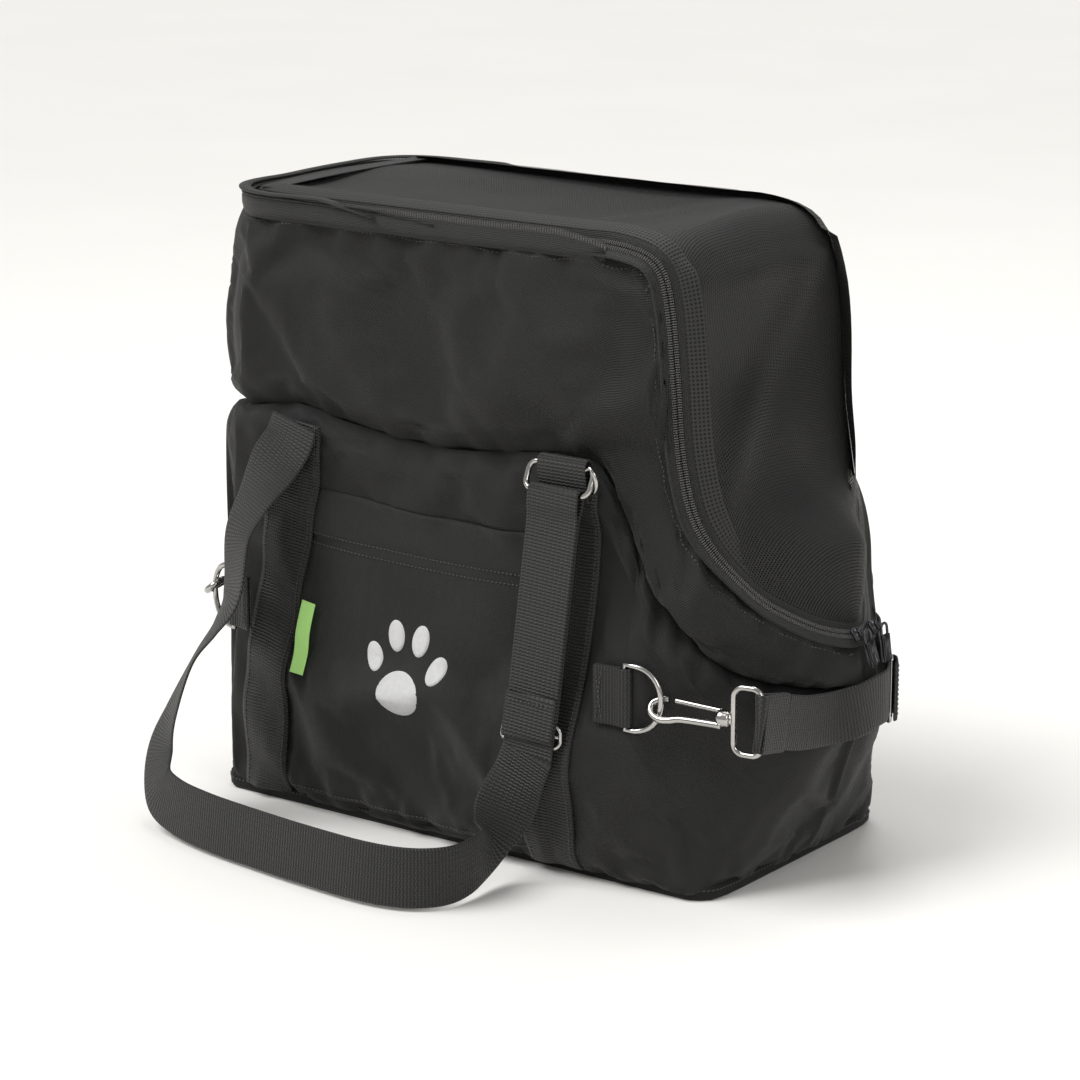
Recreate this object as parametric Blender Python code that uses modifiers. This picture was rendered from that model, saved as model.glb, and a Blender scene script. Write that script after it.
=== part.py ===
"""Soft-sided pet carrier bag: padded body with a scoop nose, mesh lid zipped
down to the nose, webbing straps, two handles, rings and a stowed shoulder strap.
Metres. +X runs from the square end to the nose, -Y is the decorated side, +Z up."""

import math

import bmesh
import bpy
from mathutils import Vector

for old in list(bpy.data.objects):
    bpy.data.objects.remove(old, do_unlink=True)

# ---- driving dimensions ------------------------------------------------------
END_X = -0.200          # square end
BASE_X = 0.199          # right end at floor level
BASE_HALF = 0.102       # half width at floor level
WALL_HALF = 0.105       # half width of the walls
RIM_HALF = 0.094        # half width at the top rim
RIM_Z = 0.403           # top rim
GROOVE_Z = 0.268        # deep seam between padded body and collar
NOSE_Z = 0.157          # lip of the nose
BELLY = 0.017           # how far the walls belly out low down
BASE_T = 0.004
PAD_T = 0.008           # padded wall
COLLAR_T = 0.005
WEB_W = 0.039           # webbing width
WEB_T = 0.0018
GAP = 0.0004
HINGE_Y = 0.112         # line the handles swing about
HINGE_Z = 0.270
LID_SPLIT_X = 0.105     # where the lid folds

bag = bpy.data.collections.new("pet_carrier_bag")
bpy.context.scene.collection.children.link(bag)
cutters = bpy.data.collections.new("cutters")
bpy.context.scene.collection.children.link(cutters)
cutters.hide_render = True


def material(name, colour, rough, metal=0.0):
    mat = bpy.data.materials.new(name)
    mat.use_nodes = True
    shader = mat.node_tree.nodes["Principled BSDF"]
    shader.inputs["Base Color"].default_value = (*colour, 1.0)
    shader.inputs["Roughness"].default_value = rough
    shader.inputs["Metallic"].default_value = metal
    return mat


TWILL = ((0.030, 0.029, 0.029), 0.85, 0.0)
WEBBING = ((0.022, 0.022, 0.023), 0.75, 0.0)
MESH = ((0.012, 0.012, 0.013), 0.8, 0.0)
TEETH = ((0.02, 0.02, 0.02), 0.45, 0.0)
NICKEL = ((0.62, 0.62, 0.63), 0.25, 1.0)
BLACK_METAL = ((0.05, 0.05, 0.055), 0.35, 1.0)
GREEN = ((0.78, 1.0, 0.42), 0.6, 0.0)
BOARD = ((0.12, 0.12, 0.12), 0.7, 0.0)


def add(name, verts, faces, look):
    """A closed mesh object with outward faces."""
    mesh = bpy.data.meshes.new(name)
    mesh.from_pydata([tuple(v) for v in verts], [], faces)
    work = bmesh.new()
    work.from_mesh(mesh)
    bmesh.ops.remove_doubles(work, verts=work.verts, dist=1e-6)
    bmesh.ops.recalc_face_normals(work, faces=work.faces)
    if work.calc_volume(signed=True) < 0:
        bmesh.ops.reverse_faces(work, faces=work.faces)
    work.to_mesh(mesh)
    work.free()
    obj = bpy.data.objects.new(name, mesh)
    bag.objects.link(obj)
    mesh.materials.append(material(name, *look))
    return obj


def grid_shell(name, outer, inner, look, loop=True):
    """Solid between two grids of points, rows by columns. loop closes the columns."""
    rows = len(outer)
    cols = len(outer[0])
    verts = [p for row in outer for p in row] + [p for row in inner for p in row]
    base = rows * cols
    faces = []
    last = cols if loop else cols - 1
    for r in range(rows - 1):
        for c in range(last):
            d = (c + 1) % cols
            quad = [r * cols + c, r * cols + d, (r + 1) * cols + d, (r + 1) * cols + c]
            faces.append(quad)
            faces.append([base + q for q in reversed(quad)])
    for c in range(last):
        d = (c + 1) % cols
        faces.append([c, base + c, base + d, d])
        top = (rows - 1) * cols
        faces.append([top + c, top + d, base + top + d, base + top + c])
    if not loop:
        for r in range(rows - 1):
            a = r * cols
            b = (r + 1) * cols
            faces.append([a, b, base + b, base + a])
            e = a + cols - 1
            f = b + cols - 1
            faces.append([e, base + e, base + f, f])
    return add(name, verts, faces, look)


def catmull(points, per):
    """Smooth curve through the points, per steps to a span."""
    out = []
    n = len(points)
    for i in range(n - 1):
        p0 = points[max(i - 1, 0)]
        p1 = points[i]
        p2 = points[i + 1]
        p3 = points[min(i + 2, n - 1)]
        for k in range(per):
            t = k / per
            a = 2 * p1
            b = (p2 - p0) * t
            c = (2 * p0 - 5 * p1 + 4 * p2 - p3) * t * t
            d = (3 * p1 - p0 - 3 * p2 + p3) * t ** 3
            out.append((a + b + c + d) * 0.5)
    out.append(points[-1].copy())
    return out


def ribbon(name, centres, widths, width, thick, look, closed=False):
    """Flat strap swept along centres. widths gives the direction across it."""
    n = len(centres)
    verts = []
    for i in range(n):
        before = centres[i - 1] if (closed or i > 0) else centres[i]
        after = centres[(i + 1) % n] if (closed or i < n - 1) else centres[i]
        along = (after - before).normalized()
        across = widths[i] - along * widths[i].dot(along)
        across.normalize()
        normal = along.cross(across)
        w = across * width / 2
        t = normal * thick / 2
        verts += [centres[i] - w - t, centres[i] + w - t, centres[i] + w + t, centres[i] - w + t]
    faces = []
    last = n if closed else n - 1
    for i in range(last):
        a = 4 * i
        b = 4 * ((i + 1) % n)
        for k in range(4):
            m = (k + 1) % 4
            faces.append([a + k, a + m, b + m, b + k])
    if not closed:
        faces.append([3, 2, 1, 0])
        e = 4 * (n - 1)
        faces.append([e, e + 1, e + 2, e + 3])
    return add(name, verts, faces, look)


def tube(name, centres, radius, look, sides=8, closed=True):
    """Round wire along a closed or open path."""
    n = len(centres)
    side = None
    rings = []
    for i in range(n):
        before = centres[i - 1] if (closed or i > 0) else centres[i]
        after = centres[(i + 1) % n] if (closed or i < n - 1) else centres[i]
        along = (after - before).normalized()
        if side is None:
            side = along.orthogonal().normalized()
        side = (side - along * side.dot(along)).normalized()
        other = along.cross(side)
        ring = []
        for k in range(sides):
            a = 2 * math.pi * k / sides
            ring.append(centres[i] + side * radius * math.cos(a) + other * radius * math.sin(a))
        rings.append(ring)
    verts = [p for ring in rings for p in ring]
    faces = []
    last = n if closed else n - 1
    for i in range(last):
        a = i * sides
        b = ((i + 1) % n) * sides
        for k in range(sides):
            m = (k + 1) % sides
            faces.append([a + k, a + m, b + m, b + k])
    if not closed:
        faces.append(list(range(sides))[::-1])
        faces.append([(n - 1) * sides + k for k in range(sides)])
    return add(name, verts, faces, look)


def block(name, centre, size, axes, look, bevel=0.0):
    """Box with given axes and an optional bevel."""
    verts = []
    for i in (-1, 1):
        for j in (-1, 1):
            for k in (-1, 1):
                offset = axes[0] * i * size[0] + axes[1] * j * size[1] + axes[2] * k * size[2]
                verts.append(centre + offset / 2)
    faces = [[0, 1, 3, 2], [4, 6, 7, 5], [0, 4, 5, 1], [2, 3, 7, 6], [0, 2, 6, 4], [1, 5, 7, 3]]
    obj = add(name, verts, faces, look)
    if bevel:
        mod = obj.modifiers.new("Bevel", "BEVEL")
        mod.width = bevel
        mod.segments = 2
    return obj


def plate(name, outline, low, high, look, bevel=0.0):
    """Flat plate from an outline of (x, y)."""
    n = len(outline)
    verts = [Vector((x, y, low)) for x, y in outline] + [Vector((x, y, high)) for x, y in outline]
    faces = [list(range(n))[::-1], list(range(n, 2 * n))]
    for i in range(n):
        j = (i + 1) % n
        faces.append([i, j, n + j, n + i])
    obj = add(name, verts, faces, look)
    if bevel:
        mod = obj.modifiers.new("Bevel", "BEVEL")
        mod.width = bevel
        mod.segments = 3
        mod.limit_method = "ANGLE"
    return obj


X = Vector((1, 0, 0))
Y = Vector((0, 1, 0))
Z = Vector((0, 0, 1))

# ---- the body's surface, as columns running up from the base -------------------
# Each column: foot (x, y), belly (x, y), groove (x, y, z), zip (x, y, z), in mm.
# Half the bag, from the nose's middle round the decorated side to the end's middle.
NOSE_COLUMNS = [
    ((199, 0), (251, 0), (249, 0, 126), (245, 0, 157)),
    ((199, -14), (247.5, -14), (245.5, -14, 126.5), (242, -13, 158)),
    ((199, -30), (238, -30), (236, -30, 128), (233, -29, 163)),
    ((199, -46), (226.5, -47), (225, -46, 131), (221.5, -45, 172)),
    ((199, -63), (214.5, -64), (213, -63, 137), (209, -62, 185)),
    ((198.5, -79), (203, -81), (202, -80, 146), (198, -78, 203)),
    ((196, -93), (191, -96), (188, -95, 159), (186, -90, 223)),
    ((186, -101), (178, -103.5), (172, -101.5, 175), (174, -94, 246)),
    ((170, -102), (163, -105), (157, -103.5, 190), (165, -94.5, 284)),
    ((152, -102), (147, -105), (143, -104, 213), (161, -94.5, 330)),
    ((136, -102), (133, -105), (130, -104, 240), (156, -94, 372)),
    ((122, -102), (121, -105), (119, -104, 259), (147, -94, 396)),
]
WALL_X = [104, 84, 58, 30, 0, -32, -64, -96, -122, -142]


def corner(radius, half, steps=4):
    """Rounded corner at the square end, from the wall round to the end."""
    points = []
    for k in range(steps + 1):
        a = math.radians(90 * k / steps)
        x = END_X * 1000 + radius - radius * math.sin(a)
        y = -half * 1000 + radius - radius * math.cos(a)
        points.append((x, y))
    return points


def half_columns():
    columns = list(NOSE_COLUMNS)
    for i, x in enumerate(WALL_X):
        top = x + (18 if i == 0 else 6 if i == 1 else 0)
        groove = GROOVE_Z * 1000 - 5 * math.cos((x + 20) / 40) + (3 if x < -120 else 0)
        columns.append(((x, -102), (x, -105), (x, -104, groove), (top, -94, RIM_Z * 1000)))
    feet = corner(24, BASE_HALF)
    bellies = corner(38, WALL_HALF)
    grooves = corner(38, 0.104)
    zips = corner(40, RIM_HALF)
    for foot, belly, groove, rim in zip(feet, bellies, grooves, zips):
        columns.append((foot, belly, (*groove, 271), (rim[0] + 5, rim[1], RIM_Z * 1000)))
    for y in (-34, 0):
        columns.append(((-200, y), (-200, y), (-200, y, 271), (-195, y, RIM_Z * 1000)))
    return columns


def mirrored(points):
    """Closed loop from a half that starts and ends on the middle plane."""
    back = [Vector((p[0], -p[1], p[2])) for p in reversed(points[1:-1])]
    return points + back


COLUMNS = half_columns()


def belly_out(x, y, z, top):
    """How far a wall bellies out at this place."""
    share = max(0.0, min(1.0, z / top))
    rise = math.sin(math.pi * share ** 0.45) ** 1.3 if 0 < share < 1 else 0.0
    if x > 100:
        reach = max(0.0, 1 - ((x - 100) / 100) ** 2)
    else:
        reach = max(0.0, math.sin(math.pi * 0.5 * min(1.0, (x + 200) / 230)))
    return BELLY * 1000 * rise * reach


def low_point(column, share, inset=0.0):
    """Point of the padded body, share 0 at the foot and 1 at the groove, in metres."""
    foot, belly, groove, _ = column
    z0 = BASE_T * 1000 + 0.4
    z = z0 + (groove[2] - z0) * share
    spread = 1 - (1 - min(1.0, z / 135.0)) ** 2
    x = foot[0] + (belly[0] - foot[0]) * spread
    y = foot[1] + (belly[1] - foot[1]) * spread
    merge = max(0.0, (share - 0.55) / 0.45) ** 1.5
    x += (groove[0] - x) * merge
    y += (groove[1] - y) * merge
    side = min(1.0, max(0.0, (abs(y) - 60) / 35.0))
    y -= math.copysign(1.0, -y) * -belly_out(x, y, z, groove[2]) * side * (-1) if y else 0.0
    point = Vector((x, y, z)) / 1000
    return point


def outward(points, i):
    """Horizontal outward direction at point i of a half path on the decorated side."""
    a = points[max(i - 1, 0)]
    b = points[min(i + 1, len(points) - 1)]
    run = Vector((b[0] - a[0], b[1] - a[1], 0))
    if run.length < 1e-9:
        run = Vector((0, -1, 0))
    out = Vector((-run.y, run.x, 0)).normalized()
    if i == 0:
        out = Vector((1, 0, 0))
    if i == len(points) - 1:
        out = Vector((-1, 0, 0))
    return out


def low_row(share, offset):
    """Half row of the padded body at a height, moved outwards by offset."""
    points = [low_point(column, share) for column in COLUMNS]
    return [p + outward(points, i) * offset for i, p in enumerate(points)]


LOW_SHARES = [0.0, 0.06, 0.18, 0.34, 0.52, 0.72, 0.88, 0.96, 1.0]


def seam_dip(share, top_only=False):
    """Inward pinch beside the groove seam and beside the base seam."""
    dip = 0.0
    if share > 0.93:
        dip -= 0.0055 * ((share - 0.93) / 0.07) ** 2
    if share < 0.05 and not top_only:
        dip -= 0.002 * (1 - share / 0.05)
    return dip


outer_rows = [mirrored(low_row(s, seam_dip(s))) for s in LOW_SHARES]
inner_rows = [mirrored(low_row(s, seam_dip(s) - PAD_T * (0.7 if s > 0.98 else 1))) for s in LOW_SHARES]
grid_shell("lower_body", outer_rows, inner_rows, TWILL)

# ---- collar between the groove and the zip ------------------------------------
COLLAR_SHARES = [0.0, 0.06, 0.18, 0.45, 0.8, 1.0]


def collar_point(column, share):
    groove = Vector(column[2]) / 1000
    rim = Vector(column[3]) / 1000
    return groove + (rim - groove) * share


def collar_row(share, offset):
    points = [collar_point(column, share) for column in COLUMNS]
    crown = 0.004 * math.sin(math.pi * share)
    dip = -0.0055 * (1 - share / 0.16) ** 2 if share < 0.16 else 0.0
    lift = 0.0008 if share == 0 else 0.0
    row = []
    for i, p in enumerate(points):
        row.append(p + outward(points, i) * (offset + crown + dip) + Z * lift)
    return row


outer_rows = [mirrored(collar_row(s, 0.0)) for s in COLLAR_SHARES]
inner_rows = [mirrored(collar_row(s, -COLLAR_T)) for s in COLLAR_SHARES]
grid_shell("upper_collar", outer_rows, inner_rows, TWILL)

# ---- base ---------------------------------------------------------------------
foot_half = [(c[0][0] / 1000, c[0][1] / 1000) for c in COLUMNS]


def grown(outline, amount):
    grown_points = []
    for i, (x, y) in enumerate(outline):
        out = outward(outline, i)
        grown_points.append((x + out.x * amount, y + out.y * amount))
    loop = grown_points + [(x, -y) for x, y in reversed(grown_points[1:-1])]
    return loop


plate("base_panel", grown(foot_half, 0.0005), 0.0, BASE_T, TWILL)
plate("base_board", grown(foot_half, -0.012), BASE_T + GAP, BASE_T + 0.0030, BOARD)
plate("inner_mat", grown(foot_half, -0.013), BASE_T + 0.0034, BASE_T + 0.018, TWILL, 0.004)

# ---- lid, zips ------------------------------------------------------------------


def rim_frames():
    """Half path of the zip with its outward and lidward directions."""
    points = [Vector(c[3]) / 1000 for c in COLUMNS]
    frames = []
    for i, p in enumerate(points):
        a = points[max(i - 1, 0)]
        b = points[min(i + 1, len(points) - 1)]
        along = (b - a).normalized()
        if i in (0, len(points) - 1):
            along = Vector((0, -1, 0)) if i == 0 else Vector((0, 1, 0))
        out = outward(points, i)
        lidward = along.cross(out).normalized()
        if lidward.z < 0:
            lidward = -lidward
        lean = (lidward * 0.8 - out * 0.6).normalized()
        normal = along.cross(lean).normalized()
        if normal.dot(out) < 0:
            normal = -normal
        frames.append((p, lean, normal))
    return frames


RIM = rim_frames()


def rim_strip(name, start, end, lift, thick, look, frames, side=0):
    """Strip beside the zip path. side 0 takes it round the nose, -1 or 1 keeps to one wall."""
    cross = [(start, lift), (end, lift), (end, lift + thick), (start, lift + thick)]
    half = [[p + lean * u + normal * v for u, v in cross] for p, lean, normal in frames]
    far = [[Vector((q.x, -q.y, q.z)) for q in section] for section in half]
    if side == 0:
        sections = far[:0:-1] + half
    else:
        sections = half if side < 0 else far[::-1]
    n = len(sections)
    verts = [p for section in sections for p in section]
    faces = []
    for i in range(n - 1):
        a = 4 * i
        b = 4 * (i + 1)
        for k in range(4):
            m = (k + 1) % 4
            faces.append([a + k, a + m, b + m, b + k])
    faces.append([3, 2, 1, 0])
    faces.append([4 * (n - 1) + k for k in range(4)])
    return add(name, verts, faces, look)


split = next(i for i, c in enumerate(COLUMNS) if c[3][0] < LID_SPLIT_X * 1000)
LID_END_X = -0.1765


def fold_frame(x):
    """Frame of the straight rim at the fold."""
    p, lean, normal = RIM[split]
    return (Vector((x, p.y, p.z)), lean, normal)


def frame_at(x):
    """Frame of the rim where its corner crosses x."""
    for (pa, la, na), (pb, lb, nb) in zip(RIM[split:], RIM[split + 1:]):
        if pb.x <= x <= pa.x:
            t = (pa.x - x) / (pa.x - pb.x)
            return (pa.lerp(pb, t), la.lerp(lb, t).normalized(), na.lerp(nb, t).normalized())
    return RIM[-1]


before_end = [f for f in RIM[split:] if f[0].x > LID_END_X]
past_end = [f for f in RIM[split:-2] if f[0].x < LID_END_X - 0.0045]
door_frames = RIM[:split] + [fold_frame(LID_SPLIT_X + 0.0006)]
top_frames = [fold_frame(LID_SPLIT_X - 0.0006)] + before_end + [frame_at(LID_END_X)]
body_frames = RIM[:split] + before_end + [frame_at(LID_END_X)]
end_frames = [frame_at(LID_END_X - 0.0040)] + past_end
rim_strip("zip_half_body", 0.0006, 0.0042, 0.0001, 0.0022, TEETH, body_frames)
rim_strip("zip_half_door", 0.0046, 0.0084, 0.0001, 0.0022, TEETH, door_frames)
rim_strip("zip_half_top_front", 0.0046, 0.0084, 0.0001, 0.0022, TEETH, top_frames, -1)
rim_strip("zip_half_top_back", 0.0046, 0.0084, 0.0001, 0.0022, TEETH, top_frames, 1)


def lid(name, frames, sag):
    """Part of the lid as rows across the bag between the two zips, flat beside its fold lines."""
    across = 12
    outer = []
    inner = []
    for p, lean, normal in frames:
        edge = p + lean * 0.0102 + normal * 0.0010
        if abs(edge.y) < 0.004:
            edge.y = -0.004
        ease = min(1.0, abs(edge.x - LID_SPLIT_X) / 0.05, abs(edge.x - LID_END_X) / 0.05)
        row_out = []
        row_in = []
        for k in range(across + 1):
            s = -math.cos(math.pi * k / across)
            lift = sag * ease * (1 - s * s) * min(1.0, abs(edge.y) / 0.09)
            up = Vector((0.35, 0, 0.94)) if edge.x > 0.15 else Z
            q = Vector((edge.x, -edge.y * s, edge.z)) + up * lift
            row_out.append(q + up * 0.0008)
            row_in.append(q - up * 0.0008)
        outer.append(row_out)
        inner.append(row_in)
    return grid_shell(name, outer, inner, MESH, loop=False)


lid("mesh_door", door_frames, 0.004)
lid("mesh_top", top_frames, 0.006)
lid("mesh_end", end_frames, 0.0)

# Half of a second zip, standing open round the rim for a rain or sun cover.
cover_pick = [i for i, c in enumerate(COLUMNS) if c[3][0] < 118]
half = []
for i in cover_pick:
    p, lean, normal = RIM[i]
    out = outward([f[0] for f in RIM], i)
    half.append(p + out * 0.0042 + Z * 0.0035)
path = half + [Vector((p.x, -p.y, p.z)) for p in reversed(half[:-1])]
ribbon("cover_zip_half", path, [Z] * len(path), 0.0150, 0.0016, TEETH)

# ---- webbing on the body -------------------------------------------------------


def wall_y(x, z, offset):
    """Y of the decorated wall's surface at (x, z), moved out by offset."""
    best = []
    for column in COLUMNS[6:]:
        share = min(1.0, max(0.0, (z * 1000 - 4.4) / (column[2][2] - 4.4)))
        p = low_point(column, share)
        best.append((p.x, p.y - 0.0 + (-seam_dip(share, True))))
    best.sort()
    for (xa, ya), (xb, yb) in zip(best, best[1:]):
        if xa <= x <= xb:
            t = (x - xa) / max(1e-9, xb - xa)
            return ya + (yb - ya) * t - offset
    return best[-1][1] - offset


def flipped(points):
    return [Vector((p.x, -p.y, p.z)) for p in points]


LEFT_STRAP = [(-0.158, 0.010), (-0.154, 0.060), (-0.149, 0.110), (-0.142, 0.160),
              (-0.134, 0.205), (-0.127, 0.240), (-0.125, 0.262)]
RIGHT_STRAP = [(0.0895, 0.010), (0.0905, 0.060), (0.0930, 0.120), (0.0965, 0.205),
               (0.0975, 0.235), (0.0975, 0.2540)]


def strap_surface(name, line, side):
    """Webbing laid on the wall: a small grid that follows the surface."""
    spine = catmull([Vector((x, 0, z)) for x, z in line], 3)
    outer = []
    inner = []
    for i, c in enumerate(spine):
        a = spine[max(i - 1, 0)]
        b = spine[min(i + 1, len(spine) - 1)]
        run = (b - a).normalized()
        across = Vector((run.z, 0, -run.x))
        row_out = []
        row_in = []
        for k in range(5):
            q = c + across * WEB_W * (k / 4 - 0.5)
            row_out.append(Vector((q.x, side * -wall_y(q.x, q.z, 0.0030), q.z)))
            row_in.append(Vector((q.x, side * -wall_y(q.x, q.z, 0.0010), q.z)))
        outer.append(row_out)
        inner.append(row_in)
    return grid_shell(name, outer, inner, WEBBING, loop=False)


for side, word in ((-1, "front"), (1, "back")):
    strap_surface(word + "_strap_left", LEFT_STRAP, side)
    strap_surface(word + "_strap_right", RIGHT_STRAP, side)

# ---- pockets --------------------------------------------------------------------
POCKET_LEFT = [(-0.132, 0.020), (-0.126, 0.075), (-0.120, 0.130), (-0.112, 0.190), (-0.106, 0.224)]
POCKET_RIGHT = [(0.064, 0.016), (0.066, 0.075), (0.069, 0.130), (0.073, 0.190), (0.0755, 0.220)]


def pocket(name, side):
    rows = 13
    cols = 15
    left = catmull([Vector((x, 0, z)) for x, z in POCKET_LEFT], 3)
    right = catmull([Vector((x, 0, z)) for x, z in POCKET_RIGHT], 3)
    outer = []
    inner = []
    for r in range(rows):
        a = left[r]
        b = right[r]
        row_out = []
        row_in = []
        for k in range(cols):
            s = k / (cols - 1)
            q = a + (b - a) * s
            v = r / (rows - 1)
            crown = 0.0045 * (math.sin(math.pi * s) * math.sin(math.pi * min(1.0, v + 0.1))) ** 0.5
            y_in = wall_y(q.x, q.z, 0.0010)
            y_out = wall_y(q.x, q.z, 0.0026) - crown
            row_out.append(Vector((q.x, side * -y_out, q.z)))
            row_in.append(Vector((q.x, side * -y_in, q.z)))
        outer.append(row_out)
        inner.append(row_in)
    return grid_shell(name, outer, inner, TWILL, loop=False)


pocket("front_pocket", -1)
pocket("back_pocket", 1)

# ---- label ----------------------------------------------------------------------
tag_low = Vector((-0.1170, wall_y(-0.117, 0.100, 0.0040), 0.0995))
tag_high = Vector((-0.1115, wall_y(-0.111, 0.147, 0.0040), 0.1465))
shift = Vector((-0.0025, -0.0042, 0))
ribbon("label_tag", [tag_low + shift, (tag_low + tag_high) / 2 + shift * 1.3, tag_high + shift],
       [X] * 3, 0.0115, 0.0012, GREEN)

# ---- handles --------------------------------------------------------------------
# Centre line and direction across the webbing, from the folded end to the buckle.
HANDLE_PATH = [
    ((-124, -112, 268.0), (1.0, 0.0, -0.05)),
    ((-128, -114, 255), (0.93, 0.0, -0.30)),
    ((-136, -119, 240), (0.90, 0.0, -0.42)),
    ((-145, -128, 218), (0.93, -0.36, -0.22)),
    ((-152, -138, 193), (0.88, -0.47, -0.10)),
    ((-147, -151, 157), (0.82, -0.57, 0.0)),
    ((-156, -158, 134), (0.70, -0.71, 0.1)),
    ((-169, -166, 111), (0.62, -0.78, 0.1)),
    ((-179, -178, 76), (0.77, -0.63, 0.1)),
    ((-182, -187, 50), (0.88, -0.35, 0.25)),
    ((-173, -199, 30), (0.50, 0.0, 0.85)),
    ((-150, -208, 23.5), (0.10, 0.1, 1.0)),
    ((-115, -216, 22), (0.0, 0.12, 1.0)),
    ((-70, -222, 21.7), (0.0, 0.12, 1.0)),
    ((-20, -227, 21.7), (0.0, 0.12, 1.0)),
    ((25, -229, 21.7), (0.0, 0.12, 1.0)),
    ((55, -222, 21.7), (0.0, 0.08, 1.0)),
    ((72, -205, 21.7), (0.02, 0.02, 1.0)),
    ((75, -184, 22.5), (0.05, -0.05, 1.0)),
    ((73, -163, 27), (0.1, -0.35, 0.95)),
    ((71, -151, 38), (-0.35, -0.70, 0.60)),
    ((73, -142, 53), (-0.85, -0.45, 0.20)),
    ((78, -136.5, 70), (-1.0, -0.05, 0.10)),
]
BUCKLE = Vector((0.084, -0.1325, 0.099))
LOW_BAR = Vector((0.094, -0.119, 0.2535))
LEG = (LOW_BAR - BUCKLE).normalized()
LEG_N = X.cross(LEG).normalized()
if LEG_N.y > 0:
    LEG_N = -LEG_N


def handle(name, side):
    centres = [Vector(p) / 1000 for p, _ in HANDLE_PATH]
    widths = [Vector(w) for _, w in HANDLE_PATH]
    front = 0.00115
    centres += [BUCKLE - LEG * 0.014 + LEG_N * front, BUCKLE + LEG_N * front]
    centres += [LOW_BAR - LEG * d + LEG_N * front for d in (0.100, 0.050, 0.020)]
    centres += [LOW_BAR - LEG * 0.008 + LEG_N * 0.0031]
    turn = 0.0034
    for angle in (0, 30, 60, 90, 120, 150, 180):
        a = math.radians(angle)
        centres.append(LOW_BAR + LEG_N * turn * math.cos(a) + LEG * turn * math.sin(a))
    centres += [LOW_BAR - LEG * 0.008 - LEG_N * 0.0031]
    centres += [LOW_BAR - LEG * d - LEG_N * front for d in (0.020, 0.060, 0.110, 0.150)]
    count = len(centres) - len(widths)
    widths += [Vector((-1, 0, 0))] * count
    first = catmull(centres[:22], 3)
    wide = catmull(widths[:22], 3)
    centres = first + centres[22:]
    widths = wide + widths[22:]
    if side > 0:
        centres = flipped(centres)
        widths = flipped(widths)
    ribbon(name, centres, widths, WEB_W, WEB_T, WEBBING)


def oval(centre, along, across, half_along, half_across, radius, steps=4):
    """Rounded rectangle outline."""
    points = []
    for quarter in range(4):
        su = 1 if quarter in (0, 3) else -1
        sv = 1 if quarter in (0, 1) else -1
        for k in range(steps + 1):
            a = math.pi / 2 * (quarter + k / steps)
            u = su * (half_along - radius) + radius * math.cos(a)
            v = sv * (half_across - radius) + radius * math.sin(a)
            points.append(centre + along * u + across * v)
    return points


def d_outline(centre, along, across, half, depth, steps=8):
    """D outline: straight bar at the centre line, bow reaching depth along."""
    points = [centre - across * half, centre + across * half]
    for k in range(1, steps):
        a = math.pi * k / steps
        bow = math.sin(a) ** 0.7
        points.append(centre + across * half * math.cos(a) + along * depth * bow)
    return [points[1]] + points[2:] + [points[0], points[0] + across * half]


def triglide(name, centre, up, across, normal, width, height, wire, spread):
    """Buckle: end posts, middle bar in front of the webbing, outer bars behind it."""
    parts = []
    half_w = width / 2 - wire / 2
    reach = height / 2 - wire / 2
    specs = [
        (centre + across * half_w, (wire, height, 2 * spread + wire * 1.2)),
        (centre - across * half_w, (wire, height, 2 * spread + wire * 1.2)),
        (centre + up * (reach - 0.0002) - normal * spread, (width - wire, wire, wire)),
        (centre - up * (reach - 0.0002) - normal * spread, (width - wire, wire, wire)),
        (centre + normal * spread, (width - wire, wire, wire)),
    ]
    for i, (at, size) in enumerate(specs):
        parts.append(block(name + str(i), at, size, (across, up, normal), NICKEL))
    body = parts[0]
    for i, other in enumerate(parts[1:]):
        mod = body.modifiers.new("join" + str(i), "BOOLEAN")
        mod.operation = "UNION"
        mod.solver = "EXACT"
        mod.object = other
    bpy.context.view_layer.update()
    graph = bpy.context.evaluated_depsgraph_get()
    joined = bpy.data.meshes.new_from_object(body.evaluated_get(graph))
    for other in parts:
        bpy.data.objects.remove(other, do_unlink=True)
    obj = bpy.data.objects.new(name, joined)
    bag.objects.link(obj)
    joined.materials.clear()
    joined.materials.append(material(name, *NICKEL))
    return obj


RING_TILT = Vector((0, -0.39, -0.92)).normalized()
for side, word in ((-1, "front"), (1, "back")):
    mirror_y = Vector((1, -side, 1))

    def flip(v, m=mirror_y):
        return Vector((v.x * m.x, v.y * m.y, v.z * m.z))

    handle(word + "_handle", side)
    ring_mid = Vector((0.094, -HINGE_Y, HINGE_Z)) + RING_TILT * 0.009
    ring_path = [flip(p) for p in oval(ring_mid, X, RING_TILT, 0.0245, 0.009, 0.0045)]
    tube(word + "_handle_ring", ring_path, 0.0018, NICKEL, 8)
    keeper = [Vector((0.096, y, z)) for y, z in (
        (-0.1128, 0.2555), (-0.1150, 0.2620), (-0.1155, 0.2690), (-0.1147, 0.2722),
        (-0.1120, 0.2737), (-0.1093, 0.2722), (-0.1085, 0.2690), (-0.1080, 0.2560))]
    ribbon(word + "_ring_loop", [flip(p) for p in keeper], [X] * len(keeper), 0.036, 0.0014, WEBBING)
    triglide(word + "_handle_buckle", flip(BUCKLE), flip(LEG), X, flip(LEG_N),
             0.052, 0.021, 0.0026, 0.0042)

# ---- tabs, D-rings, snap hooks -------------------------------------------------


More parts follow.
